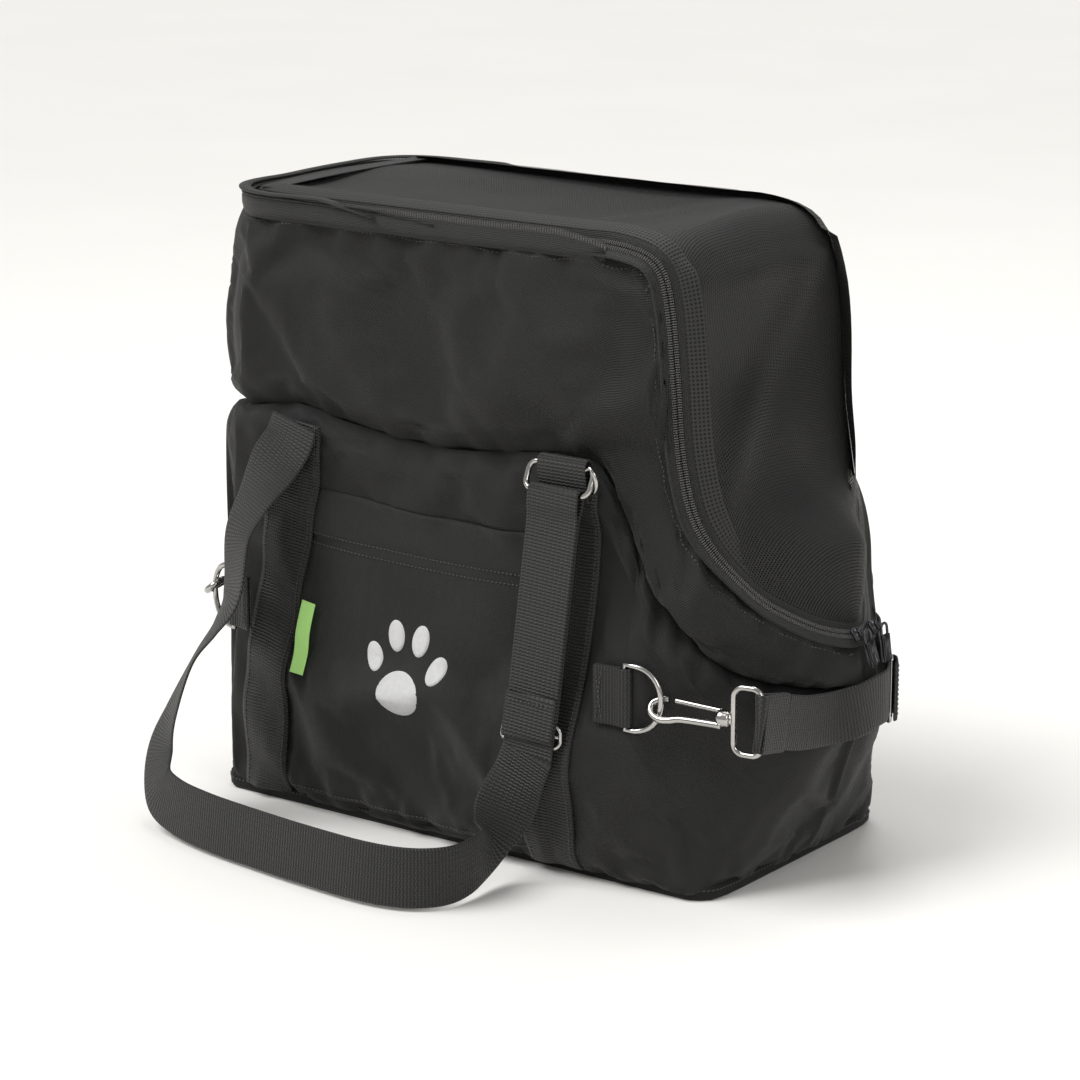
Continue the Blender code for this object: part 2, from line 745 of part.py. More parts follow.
def tab(name, centre, run, normal, length, height):
    """Folded webbing tab sewn on the wall, with the ring's bar inside its fold."""
    outer = [(-length, 0.0018), (-0.006, 0.0018), (0.0, 0.0034), (0.0030, 0.0026), (0.0036, 0.0),
             (0.0030, -0.0026), (0.0, -0.0034), (-0.006, -0.0018), (-length, -0.0018)]
    inner = [(-length, 0.0003), (-0.006, 0.0003), (0.0, 0.0023), (0.0020, 0.0016), (0.0025, 0.0),
             (0.0020, -0.0016), (0.0, -0.0023), (-0.006, -0.0003), (-length, -0.0003)]
    verts = []
    for s in (-0.5, 0.5):
        for u, v in outer + inner[::-1]:
            verts.append(centre + run * u + normal * v + Z * height * s)
    n = 18
    faces = [list(range(n)), list(range(n, 2 * n))[::-1]]
    for i in range(n):
        j = (i + 1) % n
        faces.append([i, j, n + j, n + i])
    return add(name, verts, faces, WEBBING)


def snap_hook(word, nose, run, normal, tilt):
    """Swivel snap hook pointing back at nose: hook body, gate, swivel eye."""
    tilt = math.radians(tilt)
    up = Z * math.cos(tilt) - normal * math.sin(tilt)

    def at(u, v):
        return nose + run * u + up * v

    path = [(0.0405, -0.0050), (0.016, -0.0050), (0.007, -0.0068), (0.000, -0.0070),
            (-0.0060, -0.0030), (-0.0068, 0.0030), (-0.001, 0.0070), (0.003, 0.0072)]
    body = catmull([at(u, v) for u, v in path], 3)
    tube(word + "_hook_body", body, 0.0022, NICKEL, 8, closed=False)
    tube(word + "_hook_gate", [at(0.0085, 0.0070), at(0.022, 0.0058), at(0.0390, 0.0048)],
         0.0016, NICKEL, 8, closed=False)
    block(word + "_hook_collar", at(0.0438, 0.0), (0.0056, 0.0140, 0.0120), (run, Z, normal),
          NICKEL, 0.0012)
    eye = oval(nose + run * 0.0585, run, Z, 0.0095, 0.0215, 0.0050)
    tube(word + "_swivel_eye", eye, 0.0018, NICKEL, 8)


RIGHT_RUN = Vector((1, 0.16, 0)).normalized()
RIGHT_N = Vector((0.16, -1, 0)).normalized()
right_tab = Vector((0.1470, wall_y(0.147, 0.130, 0.0066), 0.130))
TAB_RUN = Vector((1, 0.13, 0)).normalized()
TAB_N = Vector((0.13, -1, 0)).normalized()
tab("right_tab", right_tab, TAB_RUN, TAB_N, 0.022, 0.038)
right_ring = [p for p in d_outline(right_tab, RIGHT_RUN, Z, 0.0212, 0.0245)]
tube("right_d_ring", right_ring, 0.0018, NICKEL, 8)
right_nose = right_tab + RIGHT_RUN * 0.0245 + Z * (-0.004)
snap_hook("right", right_nose, RIGHT_RUN, RIGHT_N, 42)

LEFT_RUN = Vector((-0.95, 0.31, 0)).normalized()
LEFT_N = Vector((-0.31, -0.95, 0)).normalized()
left_tab = Vector((-0.1745, -0.1185, 0.142))
tab("left_tab", left_tab, LEFT_RUN, LEFT_N, 0.020, 0.038)
left_ring = d_outline(left_tab, LEFT_RUN, Z, 0.0212, 0.0245)
tube("left_d_ring", left_ring, 0.0018, NICKEL, 8)
HOOK_RUN = Vector((-0.24, 0.971, 0)).normalized()
HOOK_N = Vector((-0.971, -0.24, 0)).normalized()
left_nose = left_tab + LEFT_RUN * 0.0245 + Z * 0.003
snap_hook("left", left_nose, HOOK_RUN, HOOK_N, 52)

# ---- stowed shoulder strap ------------------------------------------------------
eye_right = right_nose + RIGHT_RUN * 0.068
eye_left = left_nose + HOOK_RUN * 0.068
SHOULDER = [
    (0.2390, -0.0780, 0.1190), (0.2400, -0.0550, 0.1135), (0.2440, -0.0300, 0.1125),
    (0.2535, -0.0140, 0.1145), (0.2568, 0.0, 0.1165), (0.2558, 0.0150, 0.1170),
    (0.2470, 0.0320, 0.1170), (0.2340, 0.0490, 0.1180), (0.2200, 0.0655, 0.1190),
    (0.2090, 0.0820, 0.120), (0.1990, 0.1000, 0.121), (0.1840, 0.1150, 0.121),
    (0.1620, 0.1280, 0.121), (0.1350, 0.1370, 0.121), (0.1100, 0.1415, 0.121),
    (0.0850, 0.1430, 0.121), (0.0550, 0.1410, 0.121),
    (0.0200, 0.1380, 0.122), (-0.0200, 0.1330, 0.123), (-0.0600, 0.1280, 0.125),
    (-0.1000, 0.1250, 0.127), (-0.1400, 0.1225, 0.130), (-0.1700, 0.1170, 0.133),
    (-0.1940, 0.1040, 0.135), (-0.2080, 0.0820, 0.137), (-0.2150, 0.0550, 0.139),
    (-0.2180, 0.0250, 0.141), (-0.2200, 0.0000, 0.142),
]
shoulder = [Vector(p) for p in SHOULDER]
ribbon("shoulder_strap", catmull(shoulder, 2), [Z] * (2 * len(shoulder) - 1), WEB_W, WEB_T, WEBBING)


def end_loop(name, eye, toward, tip):
    """Strap end folded round the swivel eye's far bow."""
    run = (tip - eye).normalized()
    side = Z.cross(run).normalized()
    turn = 0.0031
    points = [tip + side * 0.0013]
    points.append(eye + run * 0.007 + side * 0.0027)
    for k in range(7):
        a = math.pi * k / 6
        points.append(eye + side * turn * math.cos(a) - run * turn * math.sin(a))
    points.append(eye + run * 0.007 - side * 0.0027)
    points.append(tip - side * 0.0013)
    return ribbon(name, points, [Z] * len(points), 0.031, 0.0014, WEBBING)


end_loop("right_strap_end", eye_right, RIGHT_RUN, Vector((0.2390, -0.0820, 0.1240)))
end_loop("left_strap_end", eye_left, HOOK_RUN, Vector((-0.2200, -0.0040, 0.142)))
adjust_run = Vector((-0.575, 0.818, 0)).normalized()
adjust_out = Vector((0.818, 0.575, 0)).normalized()
triglide("strap_adjuster", Vector((0.2450, 0.0380, 0.1170)), adjust_run, Z, adjust_out,
         0.049, 0.0212, 0.0024, 0.0056)

# ---- zip sliders and pulls --------------------------------------------------------
for word, y in (("front", -0.0095), ("back", 0.0115)):
    p = Vector((0.2440, y, 0.1600))
    up = Vector((-0.60, 0, 0.80))
    normal = Vector((0.80, 0, 0.60))
    block(word + "_zip_slider", p + normal * 0.0048, (0.0080, 0.0090, 0.0034),
          (Y, up, normal), BLACK_METAL, 0.0008)
    top = p + normal * 0.0090 + Vector((0.0020, 0, 0))
    outline = oval(top - Z * 0.0145 + X * 0.0012, Z, Y, 0.0125, 0.0032, 0.0030)
    tube(word + "_zip_pull", outline, 0.0011, BLACK_METAL, 6)
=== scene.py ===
import math

import bpy
import bmesh
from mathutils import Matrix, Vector, noise
from mathutils.bvhtree import BVHTree


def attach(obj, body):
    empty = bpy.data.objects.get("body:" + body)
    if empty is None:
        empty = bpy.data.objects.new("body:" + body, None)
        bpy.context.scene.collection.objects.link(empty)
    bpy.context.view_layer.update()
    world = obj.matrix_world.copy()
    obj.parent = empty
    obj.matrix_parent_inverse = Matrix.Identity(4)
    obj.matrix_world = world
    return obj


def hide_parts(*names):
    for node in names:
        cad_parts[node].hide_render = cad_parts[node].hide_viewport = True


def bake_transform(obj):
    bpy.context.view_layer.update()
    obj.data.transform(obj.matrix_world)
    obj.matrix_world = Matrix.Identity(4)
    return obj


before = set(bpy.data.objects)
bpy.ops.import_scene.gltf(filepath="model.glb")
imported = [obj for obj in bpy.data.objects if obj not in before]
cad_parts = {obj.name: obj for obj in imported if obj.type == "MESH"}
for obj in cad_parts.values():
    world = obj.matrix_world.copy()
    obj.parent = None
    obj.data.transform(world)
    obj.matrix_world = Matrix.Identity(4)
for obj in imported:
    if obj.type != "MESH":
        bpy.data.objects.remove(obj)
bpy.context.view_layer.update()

X = Vector((1, 0, 0))
Y = Vector((0, 1, 0))
Z = Vector((0, 0, 1))
WEB = 0.039

# ---- node helpers ---------------------------------------------------------------


class Shader:
    """A Principled material with short calls for its nodes."""

    def __init__(self, name, rough=0.7, metal=0.0):
        self.mat = bpy.data.materials.new(name)
        self.mat.use_nodes = True
        self.tree = self.mat.node_tree
        self.bsdf = self.tree.nodes["Principled BSDF"]
        self.put("Roughness", rough)
        self.put("Metallic", metal)

    def put(self, name, value):
        self.bsdf.inputs[name].default_value = value

    def node(self, kind, **values):
        made = self.tree.nodes.new(kind)
        for key, value in values.items():
            setattr(made, key, value)
        return made

    def link(self, out, into):
        self.tree.links.new(out, into)

    def math(self, op, a, b=None, c=None):
        made = self.node("ShaderNodeMath", operation=op)
        for i, value in enumerate((a, b, c)):
            if value is None:
                continue
            if isinstance(value, (int, float)):
                made.inputs[i].default_value = value
            else:
                self.link(value, made.inputs[i])
        return made.outputs[0]

    def add(self, a, b):
        return self.math("ADD", a, b)

    def sub(self, a, b):
        return self.math("SUBTRACT", a, b)

    def mul(self, a, b):
        return self.math("MULTIPLY", a, b)

    def madd(self, a, b, c):
        return self.math("MULTIPLY_ADD", a, b, c)

    def uv(self):
        split = self.node("ShaderNodeSeparateXYZ")
        self.link(self.node("ShaderNodeUVMap", uv_map="UVMap").outputs[0], split.inputs[0])
        return split.outputs[0], split.outputs[1]

    def wave(self, value, pitch, phase=0.0):
        """0 to 1 cosine along a length in metres."""
        angle = self.madd(value, 2 * math.pi / pitch, phase)
        return self.madd(self.math("COSINE", angle), 0.5, 0.5)

    def noise(self, scale, detail=3.0):
        tex = self.node("ShaderNodeTexNoise")
        tex.inputs["Scale"].default_value = scale
        tex.inputs["Detail"].default_value = detail
        self.link(self.node("ShaderNodeTexCoord").outputs["Object"], tex.inputs["Vector"])
        return tex.outputs["Fac"]

    def colour(self, value, stops):
        """Base colour from a ramp over value."""
        made = self.node("ShaderNodeValToRGB")
        points = made.color_ramp.elements
        while len(points) < len(stops):
            points.new(0.5)
        for point, (at, colour) in zip(points, stops):
            point.position = at
            point.color = (*colour, 1.0)
        self.link(value, made.inputs[0])
        self.link(made.outputs[0], self.bsdf.inputs["Base Color"])

    def bump(self, height, distance, strength=1.0, below=None):
        made = self.node("ShaderNodeBump")
        made.inputs["Distance"].default_value = distance
        made.inputs["Strength"].default_value = strength
        self.link(height, made.inputs["Height"])
        if below is not None:
            self.link(below, made.inputs["Normal"])
        return made.outputs[0]

    def finish(self, normal):
        self.link(normal, self.bsdf.inputs["Normal"])
        return self.mat


def grey(v, warm=0.0):
    """A grey, with its red raised and its blue lowered by the share warm."""
    return (v * (1 + warm), v, v * (1 - warm))


def twill_material(name, dark, light, pitch=0.0017, sheen=0.25):
    s = Shader(name, 0.62)
    u, v = s.uv()
    along = s.add(u, v)
    across = s.sub(u, v)
    rib = s.wave(along, pitch)
    yarn = s.wave(across, pitch * 1.4)
    weave = s.mul(s.madd(yarn, 0.45, 0.55), rib)
    broad = s.noise(9.0, 4.0)
    fuzz = s.noise(900.0, 2.0)
    mixed = s.add(s.mul(weave, 0.62), s.mul(broad, 0.28))
    mixed = s.add(mixed, s.mul(fuzz, 0.22))
    s.colour(mixed, [(0.18, grey(dark, 0.03)), (0.95, grey(light, 0.02))])
    s.put("Sheen Weight", sheen)
    s.put("Sheen Roughness", 0.5)
    s.put("Specular IOR Level", 0.25)
    small = s.bump(weave, 0.00028, 0.9)
    return s.finish(s.bump(s.noise(130.0, 3.0), 0.0006, 0.55, small))


def webbing_material(name, dark, light, row=0.0022, column=0.0018):
    s = Shader(name, 0.55)
    u, v = s.uv()
    rows = s.wave(s.add(v, s.mul(s.wave(u, column * 2), row * 0.18)), row)
    columns = s.wave(u, column)
    ribs = s.mul(rows, s.madd(columns, 0.45, 0.55))
    fuzz = s.noise(1100.0, 2.0)
    mixed = s.add(s.math("POWER", ribs, 1.3), s.mul(s.sub(fuzz, 0.5), 0.35))
    s.colour(mixed, [(0.05, grey(dark, 0.02)), (0.85, grey(light, 0.03))])
    s.put("Sheen Weight", 0.06)
    s.put("Specular IOR Level", 0.45)
    return s.finish(s.bump(ribs, 0.0007, 1.0))


def mesh_material(name, pitch, dark, light, open_share=0.75):
    s = Shader(name, 0.55)
    u, v = s.uv()
    a = s.wave(u, pitch)
    b = s.wave(v, pitch)
    hole = s.mul(a, b)
    thread = s.sub(1.0, hole)
    mixed = s.add(thread, s.mul(s.noise(14.0), 0.2))
    s.colour(mixed, [(0.5, grey(dark)), (1.1, grey(light, 0.02))])
    s.put("Sheen Weight", 0.04)
    s.put("Specular IOR Level", 0.25)
    gap = s.mul(s.math("GREATER_THAN", hole, 0.42), open_share)
    s.link(s.sub(1.0, gap), s.bsdf.inputs["Alpha"])
    return s.finish(s.bump(thread, 0.0005, 0.9))


def metal_material(name, colour, rough):
    s = Shader(name, rough, 1.0)
    wear = s.noise(60.0, 5.0)
    low = tuple(c * 0.82 for c in colour)
    s.colour(wear, [(0.3, low), (0.7, colour)])
    rough_map = s.madd(s.noise(240.0, 4.0), 0.16, rough - 0.05)
    s.link(rough_map, s.bsdf.inputs["Roughness"])
    return s.finish(s.bump(s.noise(700.0, 2.0), 0.00005, 0.35))


def thread_material(name, dark, light, pitch=0.0007):
    """Satin stitch: fine threads across the piece."""
    s = Shader(name, 0.42)
    u, v = s.uv()
    threads = s.wave(s.add(v, s.mul(u, 0.35)), pitch)
    mixed = s.add(s.mul(threads, 0.7), s.mul(s.noise(300.0), 0.3))
    s.colour(mixed, [(0.1, dark), (0.9, light)])
    s.put("Sheen Weight", 0.3)
    return s.finish(s.bump(threads, 0.0002, 0.8))


TWILL = twill_material("twill", 0.0035, 0.0235, sheen=0.08)
TWILL_IN = twill_material("twill_inside", 0.003, 0.012, sheen=0.03)
BINDING = twill_material("binding", 0.002, 0.008, 0.0012, sheen=0.03)
WEBBING = webbing_material("webbing", 0.0012, 0.031)
MESH = mesh_material("mesh", 0.0021, 0.0015, 0.024)
HEM_MESH = mesh_material("hem_mesh", 0.0026, 0.002, 0.030, 0.0)
TAPE = webbing_material("zip_tape", 0.005, 0.021, 0.0011, 0.0009)
TEETH = twill_material("zip_teeth", 0.03, 0.22, 0.0009, 0.1)
TEETH.node_tree.nodes["Principled BSDF"].inputs["Roughness"].default_value = 0.3
NICKEL = metal_material("nickel", (0.50, 0.49, 0.47), 0.15)
BLACK = metal_material("black_metal", (0.07, 0.07, 0.075), 0.30)
STITCH = thread_material("stitching", grey(0.006), grey(0.035))
SILVER = thread_material("silver_thread", grey(0.42), grey(0.80))
LABEL = webbing_material("label_weave", 0.62, 0.95, 0.0006, 0.0006)
MAT_PAD = twill_material("mat_cloth", 0.02, 0.06, 0.0024)

# The label is a bright dyed tape: its ramp runs between two greens. Its small emission is a painted glow that
# makes the tape brighter than the lamps alone light it.
label_nodes = LABEL.node_tree.nodes
label_nodes["Principled BSDF"].inputs["Emission Color"].default_value = (0.45, 0.85, 0.22, 1)
label_nodes["Principled BSDF"].inputs["Emission Strength"].default_value = 0.22
for made in label_nodes:
    if made.type == "VALTORGB":
        made.color_ramp.elements[0].color = (0.42, 0.80, 0.20, 1)
        made.color_ramp.elements[1].color = (0.62, 1.0, 0.36, 1)

# ---- mesh helpers -----------------------------------------------------------------


def place(obj, body, *nodes):
    """Rides obj on a body and, where nodes are named, shows it in their place."""
    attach(obj, body)
    if nodes:
        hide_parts(*nodes)
    return obj


def clip(value):
    return min(1.0, max(0.0, value))


def arch(share):
    """Half a sine wave: 0 at 0 and 1, and 1 halfway."""
    return math.sin(math.pi * share)


def hump(value, centre, width):
    return math.exp(-((value - centre) / width) ** 2)


def running(points):
    """Length along the points from the first to each."""
    out = [0.0]
    for a, b in zip(points, points[1:]):
        out.append(out[-1] + (b - a).length)
    return out


def heading(points, i):
    return (points[min(i + 1, len(points) - 1)] - points[max(i - 1, 0)]).normalized()


def link_in(obj):
    bpy.context.scene.collection.objects.link(obj)
    return obj


def edit_mesh(mesh, change):
    """Runs change on the mesh's bmesh."""
    work = bmesh.new()
    work.from_mesh(mesh)
    change(work)
    work.to_mesh(mesh)
    work.free()


def make(name, verts, faces, mat, uvs):
    mesh = bpy.data.meshes.new(name)
    mesh.from_pydata([tuple(v) for v in verts], [], faces)
    layer = mesh.uv_layers.new(name="UVMap")
    for poly in mesh.polygons:
        for loop, vert in zip(poly.loop_indices, poly.vertices):
            layer.data[loop].uv = uvs[vert]
    mesh.materials.append(mat)
    mesh.polygons.foreach_set("use_smooth", [True] * len(mesh.polygons))
    return link_in(bpy.data.objects.new(name, mesh))


def surface(name, rows, mat, closed=False, thick=0.0, flip=False):
    """Open grid surface with a UV map in metres. closed joins the last column to the first."""
    if closed:
        rows = [row + [row[0]] for row in rows]
    cols = len(rows[0])
    verts = [p for row in rows for p in row]
    run_u = running(rows[len(rows) // 2])
    uvs = []
    run_v = [0.0] * cols
    for r, row in enumerate(rows):
        if r:
            for c in range(cols):
                run_v[c] += (row[c] - rows[r - 1][c]).length
        uvs += [(run_u[c], run_v[c]) for c in range(cols)]
    faces = []
    for r in range(len(rows) - 1):
        for c in range(cols - 1):
            a = r * cols + c
            quad = [a, a + 1, a + cols + 1, a + cols]
            faces.append(quad[::-1] if flip else quad)
    obj = make(name, verts, faces, mat, uvs)
    if closed:
        edit_mesh(obj.data, lambda work: bmesh.ops.remove_doubles(work, verts=work.verts, dist=1e-7))
    if thick:
        mod = obj.modifiers.new("Solidify", "SOLIDIFY")
        mod.thickness = thick
        mod.offset = -1
    return obj


def catmull(points, per):
    out = []
    n = len(points)
    for i in range(n - 1):
        p0, p1 = points[max(i - 1, 0)], points[i]
        p2, p3 = points[i + 1], points[min(i + 2, n - 1)]
        for k in range(per):
            t = k / per
            b = (p2 - p0) * t
            c = (2 * p0 - 5 * p1 + 4 * p2 - p3) * t * t
            d = (3 * p1 - p0 - 3 * p2 + p3) * t ** 3
            out.append((2 * p1 + b + c + d) * 0.5)
    out.append(points[-1].copy())
    return out


def sweep(name, sections, mat, uvs_across, closed=False):
    """Skin over a list of equal closed sections."""
    n = len(sections)
    m = len(sections[0])
    verts = [p for s in sections for p in s]
    run = running([sum(s, Vector()) / m for s in sections])
    uvs = [(uvs_across[k], run[i]) for i in range(n) for k in range(m)]
    faces = []
    for i in range(n if closed else n - 1):
        for k in range(m):
            j = (i + 1) % n
            q = (k + 1) % m
            faces.append([i * m + k, i * m + q, j * m + q, j * m + k])
    if not closed:
        faces.append(list(range(m))[::-1])
        faces.append([(n - 1) * m + k for k in range(m)])
    obj = make(name, verts, faces, mat, uvs)
    edit_mesh(obj.data, lambda work: bmesh.ops.recalc_face_normals(work, faces=work.faces))
    return obj


def web_section(c, across, normal, width, thick):
    """Rounded flat section of webbing, a little thinner at its edges."""
    half = width / 2
    shape = []
    for u in (-0.97, -0.9, -0.6, -0.3, 0.0, 0.3, 0.6, 0.9, 0.97):
        bulge = 1.0 if abs(u) < 0.93 else 0.75
        shape.append((u, bulge))
    shape = shape + [(1.0, 0.0)] + [(u, -b) for u, b in reversed(shape)] + [(-1.0, 0.0)]
    points = [c + across * half * u + normal * (thick / 2 * b) for u, b in shape]
    return points, [u * half for u, _ in shape]


def webbing(name, centres, widths, width=WEB, thick=0.0019, mat=WEBBING, share=lambda i: 1.0):
    """Flat webbing along centres, its width laid along widths and scaled by share(i) at each."""
    sections = []
    for i in range(len(centres)):
        along = heading(centres, i)
        across = (widths[i] - along * widths[i].dot(along)).normalized()
        normal = along.cross(across)
        points, spread = web_section(centres[i], across, normal, width * share(i), thick)
        sections.append(points)
    return sweep(name, sections, mat, spread)


def tube(name, centres, radius, mat, sides=16, closed=True):
    """Round wire along centres. radius is a number or a function of the share of the way."""
    n = len(centres)
    side = None
    sections = []
    for i in range(n):
        before = centres[i - 1] if (closed or i) else centres[i]
        after = centres[(i + 1) % n] if (closed or i < n - 1) else centres[i]
        along = (after - before).normalized()
        if side is None:
            side = along.orthogonal().normalized()
        side = (side - along * side.dot(along)).normalized()
        other = along.cross(side)
        r = radius(i / (n - 1)) if callable(radius) else radius
        sections.append([centres[i] + side * r * math.cos(a) + other * r * math.sin(a)
                         for a in [2 * math.pi * k / sides for k in range(sides)]])
    return sweep(name, sections, mat, [0.001 * k for k in range(sides)], closed)


def rounded(centre, along, across, ha, hb, radius, steps=8):
    """Outline of a rounded rectangle with half sides ha and hb."""
    points = []
    for quarter in range(4):
        su = 1 if quarter in (0, 3) else -1
        sv = 1 if quarter in (0, 1) else -1
        for k in range(steps + 1):
            a = math.pi / 2 * (quarter + k / steps)
            u = su * (ha - radius) + radius * math.cos(a)
            v = sv * (hb - radius) + radius * math.sin(a)
            points.append(centre + along * u + across * v)
    return points


def join(name, parts):
    """One mesh from several, keeping their materials and UVs."""
    for o in bpy.context.selected_objects:
        o.select_set(False)
    for o in parts:
        o.select_set(True)
    bpy.context.view_layer.objects.active = parts[0]
    bpy.ops.object.join()
    parts[0].name = name
    return parts[0]


def block(centre, size, axes, mat, bevel):
    """Box along three axes, with rounded edges."""
    mesh = bpy.data.meshes.new("block")
    work = bmesh.new()
    bmesh.ops.create_cube(work, size=1.0)
    for v in work.verts:
        v.co = centre + sum((axis * c * side for axis, c, side in zip(axes, v.co.copy(), size)), Vector())
    bmesh.ops.bevel(work, geom=work.edges[:], offset=bevel, segments=3, affect="EDGES")
    bmesh.ops.recalc_face_normals(work, faces=work.faces)
    work.to_mesh(mesh)
    work.free()
    mesh.materials.append(mat)
    mesh.uv_layers.new(name="UVMap")
    mesh.polygons.foreach_set("use_smooth", [True] * len(mesh.polygons))
    return link_in(bpy.data.objects.new("block", mesh))


def bar_faces(base, rings, sides, wrap, flip):
    """Faces of a short bar: its rings from vertex base joined up, with both ends closed."""
    faces = []
    for r in range(rings - 1):
        for k in range(sides if wrap else sides - 1):
            a = base + r * sides + k
            b = base + r * sides + (k + 1) % sides
            faces.append([a, b, b + sides, a + sides])
    first = [base + k for k in range(sides)]
    last = [k + (rings - 1) * sides for k in first]
    return faces + ([first[::-1], last] if flip else [first, last[::-1]])


def stitches(name, path, normals, pitch=0.0032, length=0.0022, radius=0.00034):
    """A row of raised thread stitches along a path."""
    sides = 6
    total = running(path)
    verts = []
    faces = []
    uvs = []
    at = pitch / 2
    i = 0
    while at < total[-1]:
        while i < len(total) - 2 and total[i + 1] < at:
            i += 1
        span = max(1e-9, total[i + 1] - total[i])
        t = (at - total[i]) / span
        p = path[i].lerp(path[i + 1], t)
        n = normals[i].lerp(normals[i + 1], t).normalized()
        d = (path[i + 1] - path[i]).normalized()
        s = d.cross(n).normalized()
        base = len(verts)
        for u, r in ((-0.5, 0.35), (-0.25, 0.9), (0.25, 0.9), (0.5, 0.35)):
            for k in range(sides):
                a = 2 * math.pi * k / sides
                drop = -0.0004 if abs(u) > 0.4 else 0.0
                q = p + d * u * length + s * math.cos(a) * radius * r * 1.5
                verts.append(q + n * (math.sin(a) * radius * r + drop))
                uvs.append((a * 0.0003, u * length))
        faces += bar_faces(base, 4, sides, True, True)
        at += pitch
    return make(name, verts, faces, STITCH, uvs)


# ---- the bag's surface, as in the CAD, with cloth detail ------------------------------
NOSE_COLUMNS = [
    ((199, 0), (251, 0), (249, 0, 126), (245, 0, 157)),
    ((199, -14), (247.5, -14), (245.5, -14, 126.5), (242, -13, 158)),
    ((199, -30), (238, -30), (236, -30, 128), (233, -29, 163)),
    ((199, -46), (226.5, -47), (225, -46, 131), (221.5, -45, 172)),
    ((199, -63), (214.5, -64), (213, -63, 137), (209, -62, 185)),
    ((198.5, -79), (203, -81), (202, -80, 146), (198, -78, 203)),
    ((196, -93), (191, -96), (188, -95, 159), (186, -90, 223)),
    ((186, -101), (178, -103.5), (172, -101.5, 175), (174, -94, 246)),
    ((170, -102), (163, -105), (157, -103.5, 190), (165, -94.5, 284)),
    ((152, -102), (147, -105), (143, -104, 213), (161, -94.5, 330)),
    ((136, -102), (133, -105), (130, -104, 240), (156, -94, 372)),
    ((122, -102), (121, -105), (119, -104, 259), (147, -94, 396)),
]
WALL_X = [104, 84, 58, 30, 0, -32, -64, -96, -122, -142]
PER = 4


def corner(radius, half, steps=4):
    points = []
    for k in range(steps + 1):
        a = math.radians(90 * k / steps)
        points.append((-200 + radius - radius * math.sin(a), -half + radius - radius * math.cos(a)))
    return points


def half_columns():
    columns = list(NOSE_COLUMNS)
    for i, x in enumerate(WALL_X):
        top = x + (18 if i == 0 else 6 if i == 1 else 0)
        groove = 268 - 5 * math.cos((x + 20) / 40) + (3 if x < -120 else 0)
        columns.append(((x, -102), (x, -105), (x, -104, groove), (top, -94, 403)))
    for foot, belly, groove, rim in zip(corner(14, 102), corner(27, 105), corner(28, 104), corner(40, 94)):
        columns.append((foot, belly, (*groove, 271), (rim[0] + 5, rim[1], 403)))
    for y in (-34, 0):
        columns.append(((-200, y), (-200, y), (-200, y, 271), (-195, y, 403)))
    return columns


def dense(columns, per):
    """Each of a column's four points made a smooth track round the bag."""
    tracks = []
    for k in range(4):
        raw = [Vector((*c[k], 0.0)) if len(c[k]) == 2 else Vector(c[k]) for c in columns]
        tracks.append(catmull(raw, per))
    return list(zip(*tracks))


COLUMNS = dense(half_columns(), PER)


def belly_out(x, z, top):
    share = clip(z / top)
    rise = max(0.0, math.sin(math.pi * share ** 0.45)) ** 1.3 if 0 < share < 1 else 0.0
    if x > 100:
        reach = max(0.0, 1 - ((x - 100) / 100) ** 2)
    else:
        reach = max(0.0, math.sin(math.pi * 0.5 * min(1.0, (x + 200) / 230)))
    return 17 * rise * reach


def low_point(column, share):
    foot, belly, groove, _ = column
    z = 4.4 + (groove.z - 4.4) * share
    spread = 1 - (1 - min(1.0, z / 135.0)) ** 2
    x = foot.x + (belly.x - foot.x) * spread
    y = foot.y + (belly.y - foot.y) * spread
    merge = max(0.0, (share - 0.55) / 0.45) ** 1.5
    x += (groove.x - x) * merge
    y += (groove.y - y) * merge
    side = clip((abs(y) - 60) / 35.0)
    y -= belly_out(x, z, groove.z) * side
    return Vector((x, y, z)) / 1000


def outward(points, i):
    if i == 0:
        return X.copy()
    if i == len(points) - 1:
        return -X
    run = points[i + 1] - points[i - 1]
    return Vector((-run.y, run.x, 0)).normalized()


def mirrored(points):
    return points + [Vector((p.x, -p.y, p.z)) for p in reversed(points[1:-1])]


def gather(p, frequency, seed=0.0):
    """One-way gathers: noise that changes quickly along the seam and slowly up the wall."""
    return noise.noise(Vector((p.x * frequency + seed, p.y * frequency, p.z * frequency * 0.16)))


def cloth(p, share, seam_low, seam_high, seed):
    """Outward movement of the cloth at a point: puckers by its two seams and broad soft waves."""
    low = math.exp(-(share * seam_low) ** 2 * 3.0)
    high = math.exp(-((1 - share) * seam_high) ** 2 * 3.0)
    fine = gather(p, 46.0, seed) * 0.0060 * (low + high)
    fine += gather(p, 92.0, seed + 7) * 0.0024 * (low + high)
    calm = min(1.0, 8 * share * (1 - share))
    broad = noise.noise(Vector((p.x * 9 + seed, p.y * 9, p.z * 12 - p.x * 7))) * 0.0040 * calm
    drag = noise.noise(Vector((p.x * 22 + p.z * 16, p.y * 20 + seed, p.z * 7))) * 0.0022 * calm
    return fine + broad + drag


def full_row(point_of, offset_of):
    half = [point_of(c) for c in COLUMNS]
    outs = [outward(half, i) for i in range(len(half))]
    row = mirrored(half)
    return [p + o * offset_of(p) for p, o in zip(row, mirrored(outs))]


def end_swell(p, share):
    """The closed end stands a little fuller than its pattern."""
    near = max(0.0, (-p.x - 0.125) / 0.075) ** 2
    return 0.0045 * near * arch(clip(share)) ** 0.5


def low_dip(share):
    dip = 0.0
    if share > 0.90:
        dip -= 0.0100 * ((share - 0.90) / 0.10) ** 2.4
    if share < 0.05:
        dip -= 0.0025 * (1 - share / 0.05) ** 2
    return dip


